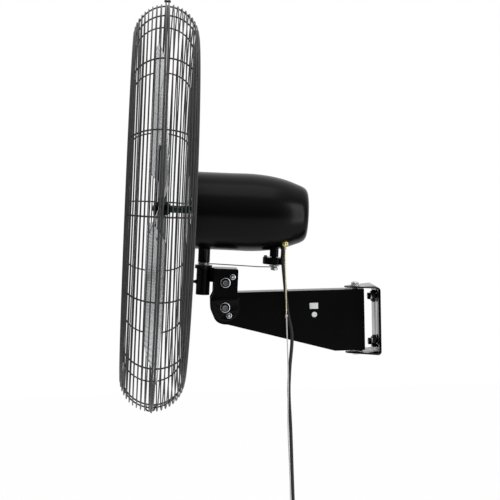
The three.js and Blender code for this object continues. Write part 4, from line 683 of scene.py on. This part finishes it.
SHELL_LINE = [
    (77.5, -20), (77.6, -8), (77.7, 45), (78.1, 85), (77.4, 102), (76.0, 118), (73.8, 134), (70.6, 150),
    (66.2, 166), (60.8, 181), (56.4, 192), (52.4, 198.2), (47.0, 202), (38, 203.8), (26, 204.3), (12, 204.5),
]
SHELL_WALL = 2.2
BELL_LINE = [
    (9.5, -27.4), (20, -27.4), (21, -26.4), (58, -26.0), (62, -27.4), (72.4, -27.2), (75.6, -26.2),
    (77.1, -24.4), (77.5, -22.4), (77.5, -20.4), (74.8, -20.4), (74.8, -23.3), (9.5, -23.3),
]
POST_LINE = [
    (0, -56.6), (8.2, -56.6), (8.9, -55.9), (8.9, 6.8), (11.4, 6.8), (12, 7.4), (12, 33), (12.6, 35), (0, 35),
]
GUARD_SCREW_LINE = [(0, 8.6), (2.4, 8.5), (4.0, 7.6), (4.4, 6.0), (0, 6.0)]
GUARD_SCREWS = 6


class FAN_OT_motor(FanPiece, bpy.types.Operator):
    """Build the motor's front bell, its drawn shell and the yoke post"""

    bl_idname = "fan.motor"
    bl_label = "Motor"

    def execute(self, context):
        along = AXIS @ LAID_X
        turned("bell_cap", "head", "black_paint", ["front_bell"], BELL_LINE, along, 128)
        outer = [(p.x, p.y) for p in centripetal([Vector((r, h, 0)) for r, h in SHELL_LINE], 4)]
        inner = [(r - SHELL_WALL, min(h, 201)) for r, h in reversed(outer) if r > 30]
        shell = [*outer, (0, 204.5), (0, 201), *inner]
        turned("drawn_shell", "head", "black_paint", ["motor_housing", "rear_cover"], shell, along, 128)
        turned("pivot_post", "head", "black_paint", ["yoke_post"], POST_LINE, HEAD, 48)
        bm = bmesh.new()
        for i in range(GUARD_SCREWS):
            place = AXIS @ about_x(15 + 360 / GUARD_SCREWS * i) @ at(-27.4, 0, 66) @ LAID_X @ FLIPPED
            washer_ring(bm, 2.4, 6.4, 4.8, 6.0, place, 28)
            lathe(bm, GUARD_SCREW_LINE, place, 24)
        piece(bm, "guard_screws", "head", "zinc")
        return {"FINISHED"}


# ------------------------------------------------------------------ rotor

BLADES = 3
BLADE_ROOT, BLADE_TIP = 52, 381
BLADE_PLANE = -97.5
ROOT_CHORD, CHORD_GAIN = 104, 54
ROOT_PITCH, PITCH_LOSS = 21, 11  # degrees
CAMBER = 6
RIVETS = ((74, -11), (74, 11), (108, 0), (138, -8), (138, 8))
HUB_LINE = [(6.4, -105.9), (12.3, -105.9), (13.4, -104.8), (13.4, -78.7), (12.3, -77.6), (6.4, -77.6)]
SHAFT_LINE = [(0, -108.4), (5.2, -108.4), (6, -107.6), (6, 129), (8, 131), (8, 155), (7, 156), (0, 156)]
COLLAR_LINE = [(6.3, -77.2), (10.5, -77.2), (11, -76.6), (11, -72.4), (10.4, -71.9), (6.3, -71.9)]
SLEEVE_LINE = [(6.4, -71.6), (7.0, -71.6), (7.4, -71.0), (7.4, -30.2), (7.0, -29.6), (6.4, -29.6)]


def blade_station(radius):
    """How far along the blade a radius is, from 0 to 1, and the full chord there."""
    share = (radius - BLADE_ROOT) / (BLADE_TIP - BLADE_ROOT)
    return share, ROOT_CHORD + CHORD_GAIN * share


def blade_point(radius, along, off):
    """A point of a blade: distance out, distance along the chord, height off the sheet."""
    share, chord = blade_station(radius)
    pitch = math.radians(ROOT_PITCH - PITCH_LOSS * share)
    lift = off + CAMBER * (1 - (2 * along / chord) ** 2)
    return Vector((
        BLADE_PLANE + along * math.sin(pitch) + lift * math.cos(pitch),
        along * math.cos(pitch) - lift * math.sin(pitch),
        radius,
    ))


def corner_cut(distance, reach, depth):
    """What a quarter ellipse at a corner takes off the chord, at a distance from the blade's end."""
    inside = min(1.0, max(0.0, distance / reach))
    return depth * (1 - math.sqrt(1 - (1 - inside) ** 2))


def blade_width(radius):
    """The chord, drawn in at the tip's and the root's corners."""
    chord = blade_station(radius)[1]
    return chord - corner_cut(BLADE_TIP - radius, 34, 68) - corner_cut(radius - BLADE_ROOT, 12, 20)


def spider_width(radius):
    """A spider arm's width: even, then narrower towards its end."""
    return 38 - max(0, radius - 130) * 0.6


def twisted_sheet(bm, from_radius, to_radius, width_at, off, thickness, place, rows=40, columns=12):
    """A flat grid laid on the blade's twisted surface, then given its thickness."""
    shape = bmesh.new()
    bmesh.ops.create_grid(shape, x_segments=columns, y_segments=rows, size=0.5)
    for vert in shape.verts:
        # rows are closer together towards both ends, where the corners are round
        share = 0.5 - 0.5 * math.cos((vert.co.y + 0.5) * math.pi)
        radius = from_radius + (to_radius - from_radius) * share
        vert.co = blade_point(radius, vert.co.x * width_at(radius), off)
    bmesh.ops.recalc_face_normals(shape, faces=shape.faces)
    bmesh.ops.solidify(shape, geom=shape.faces[:], thickness=thickness)
    joined(bm, shape, place)


class FAN_OT_rotor(FanPiece, bpy.types.Operator):
    """Build the three paddle blades, the riveted spider, the hub and the sleeved shaft"""

    bl_idname = "fan.rotor"
    bl_label = "Rotor"

    def execute(self, context):
        sheet = context.scene.fan_blades.sheet
        arms = bmesh.new()
        rivets = bmesh.new()
        for i in range(BLADES):
            place = ROTOR @ about_x(-360 / BLADES * i)
            bm = bmesh.new()
            twisted_sheet(bm, BLADE_ROOT, BLADE_TIP, blade_width, 1.0, sheet, place)
            piece(bm, f"paddle_{i + 1}", "rotor", "aluminium", [f"blade_{i + 1}"])
            twisted_sheet(arms, 12, 150, spider_width, 5.9, 3.6, place, 16, 6)
            for radius, along in RIVETS:
                spot = blade_point(radius, along, -1.2)
                bmesh.ops.create_uvsphere(
                    rivets, u_segments=12, v_segments=8, radius=3.4,
                    matrix=place @ Matrix.Translation(spot) @ Matrix.Diagonal((0.5, 1, 1, 1)),
                )
        along = ROTOR @ LAID_X
        turned("spider_hub", "rotor", "black_paint", ["fan_hub"], HUB_LINE, along, 56)
        piece(arms, "spider_arms", "rotor", "steel")
        piece(rivets, "blade_rivets", "rotor", "zinc")
        turned("motor_shaft", "rotor", "steel", ["shaft"], SHAFT_LINE, along, 40)
        turned("shaft_collar", "rotor", "black_paint", (), COLLAR_LINE, along, 40)
        turned("green_shaft_sleeve", "rotor", "green_sleeve", ["shaft_sleeve"], SLEEVE_LINE, along, 40)
        return {"FINISHED"}


# ------------------------------------------------------------------ guard

SHOULDER_STEPS = 12
PLATE_DISH = 2.5  # how far a centre plate's face stands out


def guard_path(side, lift):
    """The half guard's line in its own plane, as (distance along the axis, radius), lifted outwards."""
    depth = GUARD_DEPTH + lift
    points = [(GUARD_SEAM + side * 2.2, GUARD_RADIUS + lift)]
    for i in range(1, SHOULDER_STEPS + 1):
        angle = QUARTER * i / SHOULDER_STEPS
        points.append((GUARD_SEAM + side * depth * math.sin(angle), SHOULDER + depth * math.cos(angle)))
    return points


class FAN_OT_guard(FanPiece, bpy.types.Operator):
    """Build the two halves of the wire guard, with their centre plates and rim clips"""

    bl_idname = "fan.guard"
    bl_label = "Guard"

    def execute(self, context):
        wires = context.scene.fan_guard
        along = AXIS @ LAID_X
        # each half's side of the seam, and its centre plate's bore and radius
        for which, side, inner, plate in (("front", -1, 6, 44), ("rear", 1, 30, 72)):
            bm = bmesh.new()
            # rings outside the ribs: round the shoulder, then across the flat face
            lift = -wires.rib_wire / 2
            over = lift + (wires.rib_wire + wires.ring_wire) / 2 - 0.3
            ring(bm, GUARD_RADIUS + lift + 0.8, GUARD_SEAM + side * 2.4, wires.rim_wire, along, 128, 8)
            reach = GUARD_DEPTH + over
            for i in range(1, int(QUARTER * GUARD_DEPTH / wires.ring_pitch - 0.35) + 1):
                angle = (i + 0.35) * wires.ring_pitch / GUARD_DEPTH
                level = GUARD_SEAM + side * reach * math.sin(angle)
                ring(bm, SHOULDER + reach * math.cos(angle), level, wires.ring_wire, along)
            radius = SHOULDER - wires.ring_pitch * 0.45
            face = GUARD_SEAM + side * reach
            while radius > plate + 3:
                ring(bm, radius, face, wires.ring_wire, along, 96 if radius > 150 else 56)
                radius -= wires.ring_pitch
            nodes = (f"guard_{which}_side", f"guard_{which}_face")
            piece(bm, f"guard_rings_{which}", "head", "black_wire", nodes, 60)
            bm = bmesh.new()
            path = [(x, 0, r) for x, r in guard_path(side, lift)]
            path += [(path[-1][0], 0, plate - 6)]
            for i in range(wires.ribs):
                turn = AXIS @ Matrix.Rotation(math.tau * i / wires.ribs, 4, "X")
                wire(bm, path, wires.rib_wire, turn)
            piece(bm, f"guard_ribs_{which}", "head", "black_wire", (), 60)
            level = GUARD_SEAM + side * (GUARD_DEPTH - wires.rib_wire / 2)
            profile = [
                (inner, level - 1), (plate - 8, level - 1 - side * PLATE_DISH), (plate, level - 1),
                (plate, level + 1), (plate - 8, level + 1 - side * PLATE_DISH), (inner, level + 1),
            ]
            turned(f"guard_plate_{which}", "head", "black_paint", (), profile, along)
        guard_clips()
        return {"FINISHED"}


def guard_clips():
    """The bolted lug at the top of the rim and the hooked clip at the bottom."""
    bm = bmesh.new()
    top = AXIS @ at(GUARD_SEAM, 0, GUARD_RADIUS)
    block(bm, (2.4, 9, 14), (-3, 0, 5.5), top)
    block(bm, (2.4, 9, 14), (3, 0, 5.5), top)
    rounded(bm, 0.8)
    bar(bm, 2.4, -6.5, 6.5, top @ at(z=8.5) @ LAID_X, 20)
    piece(bm, "rim_lug", "head", "black_wire", ["guard_clip_top"])
    bm = bmesh.new()
    bottom = AXIS @ FLIPPED @ at(GUARD_SEAM, 0, GUARD_RADIUS)
    hook = [(-9.5, -6), (-9.5, 1), (-7, 4.6), (-2, 5.6), (3, 5.2), (7, 3.2), (8.6, -1), (8.6, -6)]
    wire(bm, [(x, 0, z) for x, z in hook], 3.4, bottom)
    wire(bm, [(0.5, 0, 3), (0.8, 0, 7), (2.2, 0, 9.6)], 2.6, bottom)
    piece(bm, "rim_hook", "head", "black_wire", ["guard_clip_bottom"])


# ------------------------------------------------------------------ oscillation drive

GEAR_POST_LINE = [(5.5, 23.6), (8.2, 23.6), (9, 24.4), (9, 41), (12, 43.5), (12, 75.4), (5.5, 75.4)]
DISC_LINE = [(0, 8.6), (21.6, 8.6), (22.5, 9.5), (22.5, 21.5), (21.6, 22.4), (7, 22.5), (0, 22.5)]
CAP_SCREW_LINE = [(0, 26), (2.8, 26), (3.6, 25.2), (3.6, 22.5), (0, 22.5)]
ROD_PATH = [
    (138, -16.7, 4), (110, -18.2, 3.4), (60, -20.8, 4.8), (20, -22.9, 5.8), (7, -23.6, 5.8), (2, -23.9, 4.6),
]
ROD_EYES = ((141, -16.5, 3.3), (0, -24, 2.7))  # x, y and bore


class FAN_OT_drive(FanPiece, bpy.types.Operator):
    """Build the crank, its post and cap screws, and the oscillation rod"""

    bl_idname = "fan.drive"
    bl_label = "Oscillation Drive"

    def execute(self, context):
        turned("gear_housing_post", "head", "black_paint", ["gear_post"], GEAR_POST_LINE, CRANK, 40)
        bm = bmesh.new()
        bar(bm, 5, 20, 82, CRANK, 28)
        lathe(bm, DISC_LINE, CRANK, 56)
        bar(bm, 15.4, 75.8, 81.8, CRANK, 40)
        piece(bm, "crank_disc", "crank", "black_paint", ["crank"])
        bm = bmesh.new()
        for side in (-1, 1):
            lathe(bm, CAP_SCREW_LINE, CRANK @ at(x=17 * side), 20)
        piece(bm, "crank_cap_screws", "crank", "steel")
        bm = bmesh.new()
        pin = CRANK @ at(y=-16.5)
        bar(bm, 3, -3, 19, pin, 20)
        hex_head(bm, 8, -2.6, 2.0, pin @ FLIPPED)
        washer_ring(bm, 3.1, 10.6, 5.9, 7.6, pin, 32)
        piece(bm, "crank_stud", "crank", "zinc", ["crank_pin"])
        bm = bmesh.new()
        wire(bm, ROD_PATH, 2.2, HEAD, 10)
        for x, y, bore in ROD_EYES:
            washer_ring(bm, bore, 6, 3, 5.4, HEAD @ at(x, y), 36)
        piece(bm, "oscillation_rod", "rod", "steel", ["link_rod"])
        return {"FINISHED"}


# ------------------------------------------------------------------ pull chain

NIPPLE = HEAD @ at(159, -38, 46.6)
CHAIN_TOP = NIPPLE.translation + Vector((0, 0, 4))
CHAIN_LENGTH = 138.6
STRING_LENGTH = 390
STRING_DIAMETER = 2.4
STRING_STEPS = 20
NIPPLE_LINE = [
    (2.5, 0.9), (3.6, 0), (4.7, 0.5), (5.9, 2.2), (6.6, 4.6), (6.6, 7.4),
    (5.9, 9.8), (4.7, 11.5), (4, 12.2), (4, 25.6), (2.5, 25.6),
]
KNOB_LINE = [
    (0, 0), (2.6, 0), (3.4, -0.8), (3.4, -3.2), (4.4, -4.4), (4.8, -7.2),
    (6.8, -13), (8, -18), (7.6, -21.6), (6.2, -23.6), (3.5, -24), (0, -24),
]


class FAN_OT_pull_chain(FanPiece, bpy.types.Operator):
    """Build the brass nipple, the beaded chain, the pull string and its knob"""

    bl_idname = "fan.pull_chain"
    bl_label = "Pull Chain"

    def execute(self, context):
        cord = context.scene.fan_cord
        turned("bell_nipple", "head", "brass", ["chain_nipple"], NIPPLE_LINE, NIPPLE, 120, 24)
        bm = bmesh.new()
        beads = int(CHAIN_LENGTH / cord.bead_pitch)
        for i in range(beads):
            spot = Matrix.Translation(CHAIN_TOP + Vector((0, 0, -(i + 0.5) * cord.bead_pitch)))
            bmesh.ops.create_icosphere(bm, subdivisions=2, radius=cord.bead / 2, matrix=spot)
        bar(bm, 0.45, -CHAIN_LENGTH + 1, -1, Matrix.Translation(CHAIN_TOP), 8)
        piece(bm, "bead_chain", "pull", "nickel", ["ball_chain"])
        self.pull_string()
        return {"FINISHED"}

    def pull_string(self):
        x, y, top = CHAIN_TOP.x, CHAIN_TOP.y, CHAIN_TOP.z - CHAIN_LENGTH - CLEARANCE
        route = []
        for i in range(STRING_STEPS + 1):
            share = i / STRING_STEPS
            sway = 1.6 * math.sin(share * math.pi * 2.5) * math.sin(share * math.pi)
            route.append(Vector((x + sway, y, top - STRING_LENGTH * share)))
        bm = bmesh.new()
        wire(bm, route, STRING_DIAMETER, BRACKET, 12)
        string = piece(bm, "white_string", "pull", "string", ["pull_string"], 80)
        bm = bmesh.new()
        spot = at(x, y, top - 2)
        for turn, (dx, dz) in enumerate(((0, 0), (0.9, -1.6), (-0.9, -3.0))):
            lean = Matrix.Rotation(math.radians(25 - 25 * turn), 4, "Y")
            ring(bm, 1.7, 0, 2.2, spot @ at(dx * 0.4, 0, dz) @ lean, 20, 8)
        knot = piece(bm, "string_knot", "pull", "string")
        end = at(x, y, top - STRING_LENGTH - CLEARANCE)
        knob = turned("brass_knob", "pull", "brass", ["end_knob"], KNOB_LINE, end, 48)


# ------------------------------------------------------------------ power cord

CORD_RADIUS = 3.5
HANK_TOP = -404
HANK_RUN = 128
HANK_INNER = 19
HANK_PITCH = 8.6
HANK_LAYER = 8.4
HANK_TURNS = 3
HANK_WAIST = 13
HANK_X, HANK_Y = -175, -12.4
HANK_SHIFT = 38
HANK_HALF = HANK_RUN / 2
HANK_OUTER = HANK_INNER + (HANK_TURNS - 0.5) * HANK_PITCH
HANK_MIDDLE = HANK_TOP - HANK_OUTER - 2 * CORD_RADIUS - HANK_HALF
HANK_STEPS = 5  # steps of a straight run and of a bend
HANK_LEAD = 8  # steps of the cord's straight way in and out
TIE_HALF, TIE_WIDE, TIE_DEEP = 7, 33, 10.5
RELIEF = HEAD @ at(157, -24.5)
RELIEF_RIB = [(4.3, 0.3), (4.3, 1.2), (5.0, 1.6), (5.0, 2.6)]
PLUG_RIB = [(5.4, 0), (5.4, -1.5), (4.6, -1.9), (4.6, -2.6)]
PLUG_BODY = [
    (5.6, -10.4), (9.5, -12.2), (12.8, -14.4), (14, -16.4), (14, -30.6), (13.2, -33.2), (11.8, -34), (0, -34),
]
EARTH_PIN_LINE = [(0, -33.6), (2.4, -33.6), (2.4, -48.6), (1.6, -49.9), (0, -50)]


def hank_points():
    """The folded cord: in over the first layer, three turns out, a climb, and the same lanes back."""
    points = []
    layers = (-HANK_LAYER / 2, HANK_LAYER / 2)
    lane = HANK_INNER - HANK_WAIST
    tie_end = TIE_HALF + CORD_RADIUS

    def put(x, y, z):
        points.append(Vector((HANK_X + x, HANK_Y + y, HANK_MIDDLE + z)))

    def waist(z):
        return HANK_WAIST * (0.5 + 0.5 * math.cos(z / HANK_HALF * math.pi))

    def over(end, y, z):
        share = min(1.0, max(0.0, (end * z - tie_end) / HANK_SHIFT))
        share = share * share * (3 - 2 * share)
        put(-lane, y + share * math.copysign(HANK_LAYER, y), z)

    reach = HANK_TOP - HANK_MIDDLE
    drop = (reach - tie_end) / HANK_LEAD
    for k in range(HANK_LEAD):
        over(1, layers[0], reach - k * drop)
    radius = HANK_INNER
    for run in range(2 * (2 * HANK_TURNS - 1)):
        downwards = run % 2 == 0
        climbing = run == 2 * HANK_TURNS - 1
        y = layers[0 if run < 2 * HANK_TURNS else 1]
        side = -1 if downwards else 1
        for k in range(1 if run else 3, HANK_STEPS):
            z = side * (-HANK_HALF + HANK_RUN * k / HANK_STEPS)
            put(side * (radius - waist(z)), y + (k / HANK_STEPS * HANK_LAYER if climbing else 0), z)
        start = radius
        radius += HANK_PITCH / 2 if run < 2 * HANK_TURNS - 1 else -HANK_PITCH / 2
        for k in range(HANK_STEPS + 1):
            r = start + (radius - start) * k / HANK_STEPS
            angle = (math.pi if downwards else 0) + math.pi * k / HANK_STEPS
            put(r * math.cos(angle), layers[1] if climbing else y, side * HANK_HALF + r * math.sin(angle))
    for k in range(1, 4):
        z = HANK_HALF - HANK_RUN * k / HANK_STEPS
        put(-(radius - waist(z)), layers[1], z)
    for k in range(1, HANK_LEAD + 1):
        over(-1, layers[1], -tie_end - k * drop)
    return points


def cord_points():
    """The whole cord: out of the strain relief, down past the arm, and through the hank."""
    hank = hank_points()
    end = hank[0] + Vector((0, 0, CLEARANCE))
    start = RELIEF @ Vector((0, 0, 23.6))
    return [
        start,
        RELIEF @ Vector((0.3, 0, 15)),
        Vector((-189.6, -27, 88)),
        Vector((-184, -28, 20)),
        Vector((-176.6, -28, -25)),
        Vector((-182.5, -27.5, -94)),
        Vector((-185, -26.5, -140)),
        Vector((-183, -25.5, -216)),
        Vector((-182, -25, -300)),
        end + Vector((0, 0, 26)),
        end + Vector((0, 0, 9)),
        *hank,
    ]


def blend(pair, start, end, where):
    """A point between two, as far along as where is between start and end."""
    return pair[0].lerp(pair[1], (where - start) / (end - start))


def centripetal(points, per_span=6):
    """Points on the smooth curve through the given ones."""
    padded = [2 * points[0] - points[1], *points, 2 * points[-1] - points[-2]]
    fine = []
    for i in range(1, len(padded) - 2):
        p = padded[i - 1:i + 3]
        t = [0.0]
        for a, b in zip(p, p[1:]):
            t.append(t[-1] + math.sqrt((b - a).length))
        for k in range(per_span):
            u = t[1] + (t[2] - t[1]) * k / per_span
            first = [blend(p[j:j + 2], t[j], t[j + 1], u) for j in range(3)]
            second = [blend(first[j:j + 2], t[j], t[j + 2], u) for j in range(2)]
            fine.append(blend(second, t[1], t[2], u))
    return fine + [points[-1]]


class FAN_OT_power_cord(FanPiece, bpy.types.Operator):
    """Build the power cord with its strain relief, folded hank, tie and plug"""

    bl_idname = "fan.power_cord"
    bl_label = "Power Cord"

    def execute(self, context):
        diameter = context.scene.fan_cord.diameter
        profile = [(3.9, 24), (5.1, 24), (5.1, 25)]
        # moulded ribs below the gland's flange
        for i in range(5):
            profile += shifted(RELIEF_RIB, up=25 + i * 3)
        profile += [(5.0, 41), (6, 41.1), (6, 44.6), (3.9, 44.6)]
        relief = turned("cord_gland", "head", "rubber", ["strain_relief"], profile, RELIEF, 40)
        bm = bmesh.new()
        lathe(bm, [(1, -TIE_HALF), (1.14, -TIE_HALF), (1.14, TIE_HALF), (1, TIE_HALF)], BRACKET, 48)
        # the round band becomes a flat loop with round ends
        for vert in bm.verts:
            out = vert.co.xy.length
            ux, uy = vert.co.x / out, vert.co.y / out
            grow = 1.3 if out > 1.05 else 0.0
            vert.co.x = math.copysign(abs(ux) ** 0.5, ux) * (TIE_WIDE + grow) + 1.8
            vert.co.y = math.copysign(abs(uy) ** 0.8, uy) * (TIE_DEEP + grow)
        bmesh.ops.transform(bm, matrix=at(HANK_X, HANK_Y, HANK_MIDDLE), verts=bm.verts)
        tie = piece(bm, "hook_tie", "head", "rubber", ["hank_tie"])
        points = centripetal(cord_points())
        plug = self.plug(points[-1] - Vector((0, 0, CLEARANCE)))
        curve = bpy.data.curves.new("black_cord", "CURVE")
        curve.dimensions = "3D"
        curve.bevel_depth = diameter / 2
        curve.bevel_resolution = 4
        curve.use_fill_caps = True
        spline = curve.splines.new("POLY")
        spline.points.add(len(points) - 1)
        for target, point in zip(spline.points, points):
            target.co = (*(point * METRES), 1)
        spline.use_smooth = True
        curve.materials.append(FINISHES["rubber"])
        cord = placed("black_cord", curve)
        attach(cord, "head")
        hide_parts("power_cord", "cord_hank")
        return {"FINISHED"}

    def plug(self, top):
        place = Matrix.Translation(top)
        profile = [(0, 0), (4.6, 0), (5.2, -0.6)]
        for i in range(3):
            profile += shifted(PLUG_RIB, up=-1 - i * 3)
        body = turned("plug_body", "head", "rubber", ["plug"], profile + PLUG_BODY, place, 56)
        bm = bmesh.new()
        for x in (-6.35, 6.35):
            block(bm, (1.6, 6.4, 16.4), (x, 2, -41.8), place)
        rounded(bm, 0.3)
        lathe(bm, EARTH_PIN_LINE, place @ at(y=-8), 24)
        pins = piece(bm, "plug_pins", "head", "brass")
        pins.parent = body
        return body


# ------------------------------------------------------------------ stage

FLOOR_SIZE = 3.6
# how much of its own white the floor gives to the camera and to reflections
SEEN_SHARE, MIRRORED_SHARE = 0.97, 0.3


class FAN_OT_stage(FanPiece, bpy.types.Operator):
    """Build the pale floor, the soft lights, the bright surroundings and the camera"""

    bl_idname = "fan.stage"
    bl_label = "Stage"

    def execute(self, context):
        stage = context.scene.fan_stage
        self.camera(context)
        self.floor(CAD_BOX[0][2] - stage.floor_gap)
        # name, place, aim, size and power of each lamp
        lamps = (
            ("overhead_softbox", (-0.3, -0.9, 2.6), (-0.3, 0, 0.1), (2.6, 1.8), stage.key_watts),
            ("camera_side_fill", (-1.8, -3.0, 0.9), (-0.25, 0, 0.1), (1.6, 1.6), stage.fill_watts),
            ("wall_side_softbox", (1.3, -1.2, 0.25), (-0.16, 0, 0.23), (0.5, 2.2), stage.side_watts),
        )
        for lamp in lamps:
            self.light(*lamp)
        self.surroundings(context)
        return {"FINISHED"}

    def camera(self, context):
        # a long lens at the height of the motor, a little in front of the side view
        azimuth, elevation, roll = math.radians(-3.65), math.radians(3.75), math.radians(-1.3)
        target, distance = Vector((-0.2554, 0, 0.1458)), 3.227
        back = Vector((
            math.sin(azimuth) * math.cos(elevation),
            -math.cos(azimuth) * math.cos(elevation),
            math.sin(elevation),
        ))
        right = Vector((math.cos(azimuth), math.sin(azimuth), 0))
        up = back.cross(right)
        rolled_right = right * math.cos(roll) + up * math.sin(roll)
        rolled_up = up * math.cos(roll) - right * math.sin(roll)
        data = bpy.data.cameras.new("side_camera")
        data.lens = 115.2
        data.sensor_width = 36
        data.clip_end = 50
        camera = placed("side_camera", data)
        pose = Matrix((rolled_right, rolled_up, back)).transposed().to_4x4()
        pose.translation = target + back * distance
        camera.matrix_world = pose
        context.scene.camera = camera

    def floor(self, height):
        bm = bmesh.new()
        bmesh.ops.create_grid(bm, x_segments=1, y_segments=1, size=FLOOR_SIZE, matrix=at(z=height))
        mesh = bpy.data.meshes.new("pale_floor")
        bm.to_mesh(mesh)
        bm.free()
        floor = placed("pale_floor", mesh)
        material, tree, shader, coords = finish_of("white_vinyl")
        # white vinyl: it shows white to the camera and in reflections, and keeps a faint shadow
        clouds = add(tree, "ShaderNodeTexNoise", {"Scale": scale_for(400), "Detail": 3.0}, {"Vector": coords})
        tint = add(
            tree, "ShaderNodeMix", {"data_type": "RGBA", 6: linear("#e6e6e6"), 7: linear("#ececec")},
            {0: clouds.outputs["Fac"]},
        )
        feed(tree, shader, {"Base Color": tint.outputs[2]})
        shader.inputs["Roughness"].default_value = 0.7
        rays = add(tree, "ShaderNodeLightPath")
        seen = add(
            tree, "ShaderNodeMath", {"operation": "MULTIPLY", 1: SEEN_SHARE},
            {0: rays.outputs["Is Camera Ray"]},
        )
        mirrored = add(
            tree, "ShaderNodeMath", {"operation": "MULTIPLY", 1: MIRRORED_SHARE},
            {0: rays.outputs["Is Glossy Ray"]},
        )
        share = add(
            tree, "ShaderNodeMath", {"operation": "MAXIMUM"}, {0: seen.outputs[0], 1: mirrored.outputs[0]}
        )
        white = add(tree, "ShaderNodeEmission", {"Color": (1, 1, 1, 1), "Strength": 1.0})
        mixed = add(
            tree, "ShaderNodeMixShader", (),
            {0: share.outputs[0], 1: shader.outputs[0], 2: white.outputs[0]},
        )
        tree.links.new(mixed.outputs[0], tree.nodes["Material Output"].inputs["Surface"])
        mesh.materials.append(material)

    def light(self, name, spot, target, size, watts):
        data = bpy.data.lights.new(name, "AREA")
        data.shape = "RECTANGLE"
        data.size, data.size_y = size
        data.energy = watts
        lamp = placed(name, data)
        lamp.location = spot
        lamp.rotation_euler = (Vector(target) - Vector(spot)).to_track_quat("-Z", "Y").to_euler()

    def surroundings(self, context):
        world = bpy.data.worlds.new("bright_studio")
        context.scene.world = world
        world.use_nodes = True
        tree = world.node_tree
        tree.nodes.clear()
        # white to the camera; to the fan, a room that is bright above and behind and dim by the camera
        direction = add(tree, "ShaderNodeTexCoord").outputs["Generated"]
        parts = add(tree, "ShaderNodeSeparateXYZ", (), {0: direction})
        behind = add(
            tree, "ShaderNodeMapRange",
            {"interpolation_type": "SMOOTHSTEP", 1: -0.5, 2: 0.6, 3: 0.14, 4: 1.0}, {0: parts.outputs["Y"]},
        )
        above = add(
            tree, "ShaderNodeMapRange",
            {"interpolation_type": "SMOOTHSTEP", 1: -0.2, 2: 0.9, 3: 0.0, 4: 0.5}, {0: parts.outputs["Z"]},
        )
        level = add(
            tree, "ShaderNodeMath", {"operation": "ADD", "use_clamp": True},
            {0: behind.outputs[0], 1: above.outputs[0]},
        )
        rays = add(tree, "ShaderNodeLightPath")
        seen = add(
            tree, "ShaderNodeMath", {"operation": "MAXIMUM"},
            {0: rays.outputs["Is Camera Ray"], 1: level.outputs[0]},
        )
        background = add(tree, "ShaderNodeBackground", {"Color": (1, 1, 1, 1)}, {"Strength": seen.outputs[0]})
        output = add(tree, "ShaderNodeOutputWorld")
        tree.links.new(background.outputs[0], output.inputs["Surface"])


# ------------------------------------------------------------------ panel and registration


class FAN_PT_build(bpy.types.Panel):
    """Lists the building steps and their settings"""

    bl_label = "Wall Mounted Fan"
    bl_space_type = "VIEW_3D"
    bl_region_type = "UI"
    bl_category = "Wall Fan"

    def draw(self, context):
        for operator in OPERATORS:
            self.layout.operator(operator.bl_idname)
        for group, settings in SETTINGS.items():
            box = self.layout.box()
            for name in settings.__annotations__:
                box.prop(getattr(context.scene, group), name)


SETTINGS = {
    "fan_guard": FanGuardSettings,
    "fan_motor": FanMotorSettings,
    "fan_blades": FanBladeSettings,
    "fan_cord": FanCordSettings,
    "fan_stage": FanStageSettings,
}
OPERATORS = (
    FAN_OT_stage, FAN_OT_power_cord, FAN_OT_wall_bracket, FAN_OT_swivel, FAN_OT_arm, FAN_OT_neck,
    FAN_OT_motor, FAN_OT_rotor, FAN_OT_guard, FAN_OT_drive, FAN_OT_pull_chain,
)


def register():
    for settings in SETTINGS.values():
        bpy.utils.register_class(settings)
    for group, settings in SETTINGS.items():
        setattr(bpy.types.Scene, group, bpy.props.PointerProperty(type=settings))
    for operator in (*OPERATORS, FAN_PT_build):
        bpy.utils.register_class(operator)


def unregister():
    for operator in reversed((*OPERATORS, FAN_PT_build)):
        bpy.utils.unregister_class(operator)
    for group in SETTINGS:
        delattr(bpy.types.Scene, group)
    for settings in SETTINGS.values():
        bpy.utils.unregister_class(settings)


def finish_frame_nodes():
    """Gives every solid that stays in view the finish of its slot."""
    for part in frame["record"]["subparts"]:
        mesh = frame["nodes"][part["node"]].data
        mesh.materials.clear()
        mesh.materials.append(FINISHES[part["material_slot"]])


def main():
    register()
    scene = bpy.context.scene
    scene.view_settings.view_transform = "Standard"
    FINISHES.update(make_finishes(scene))
    finish_frame_nodes()
    for operator in OPERATORS:
        group, action = operator.bl_idname.split(".")
        getattr(getattr(bpy.ops, group), action)()


if __name__ == "__main__":
    main()
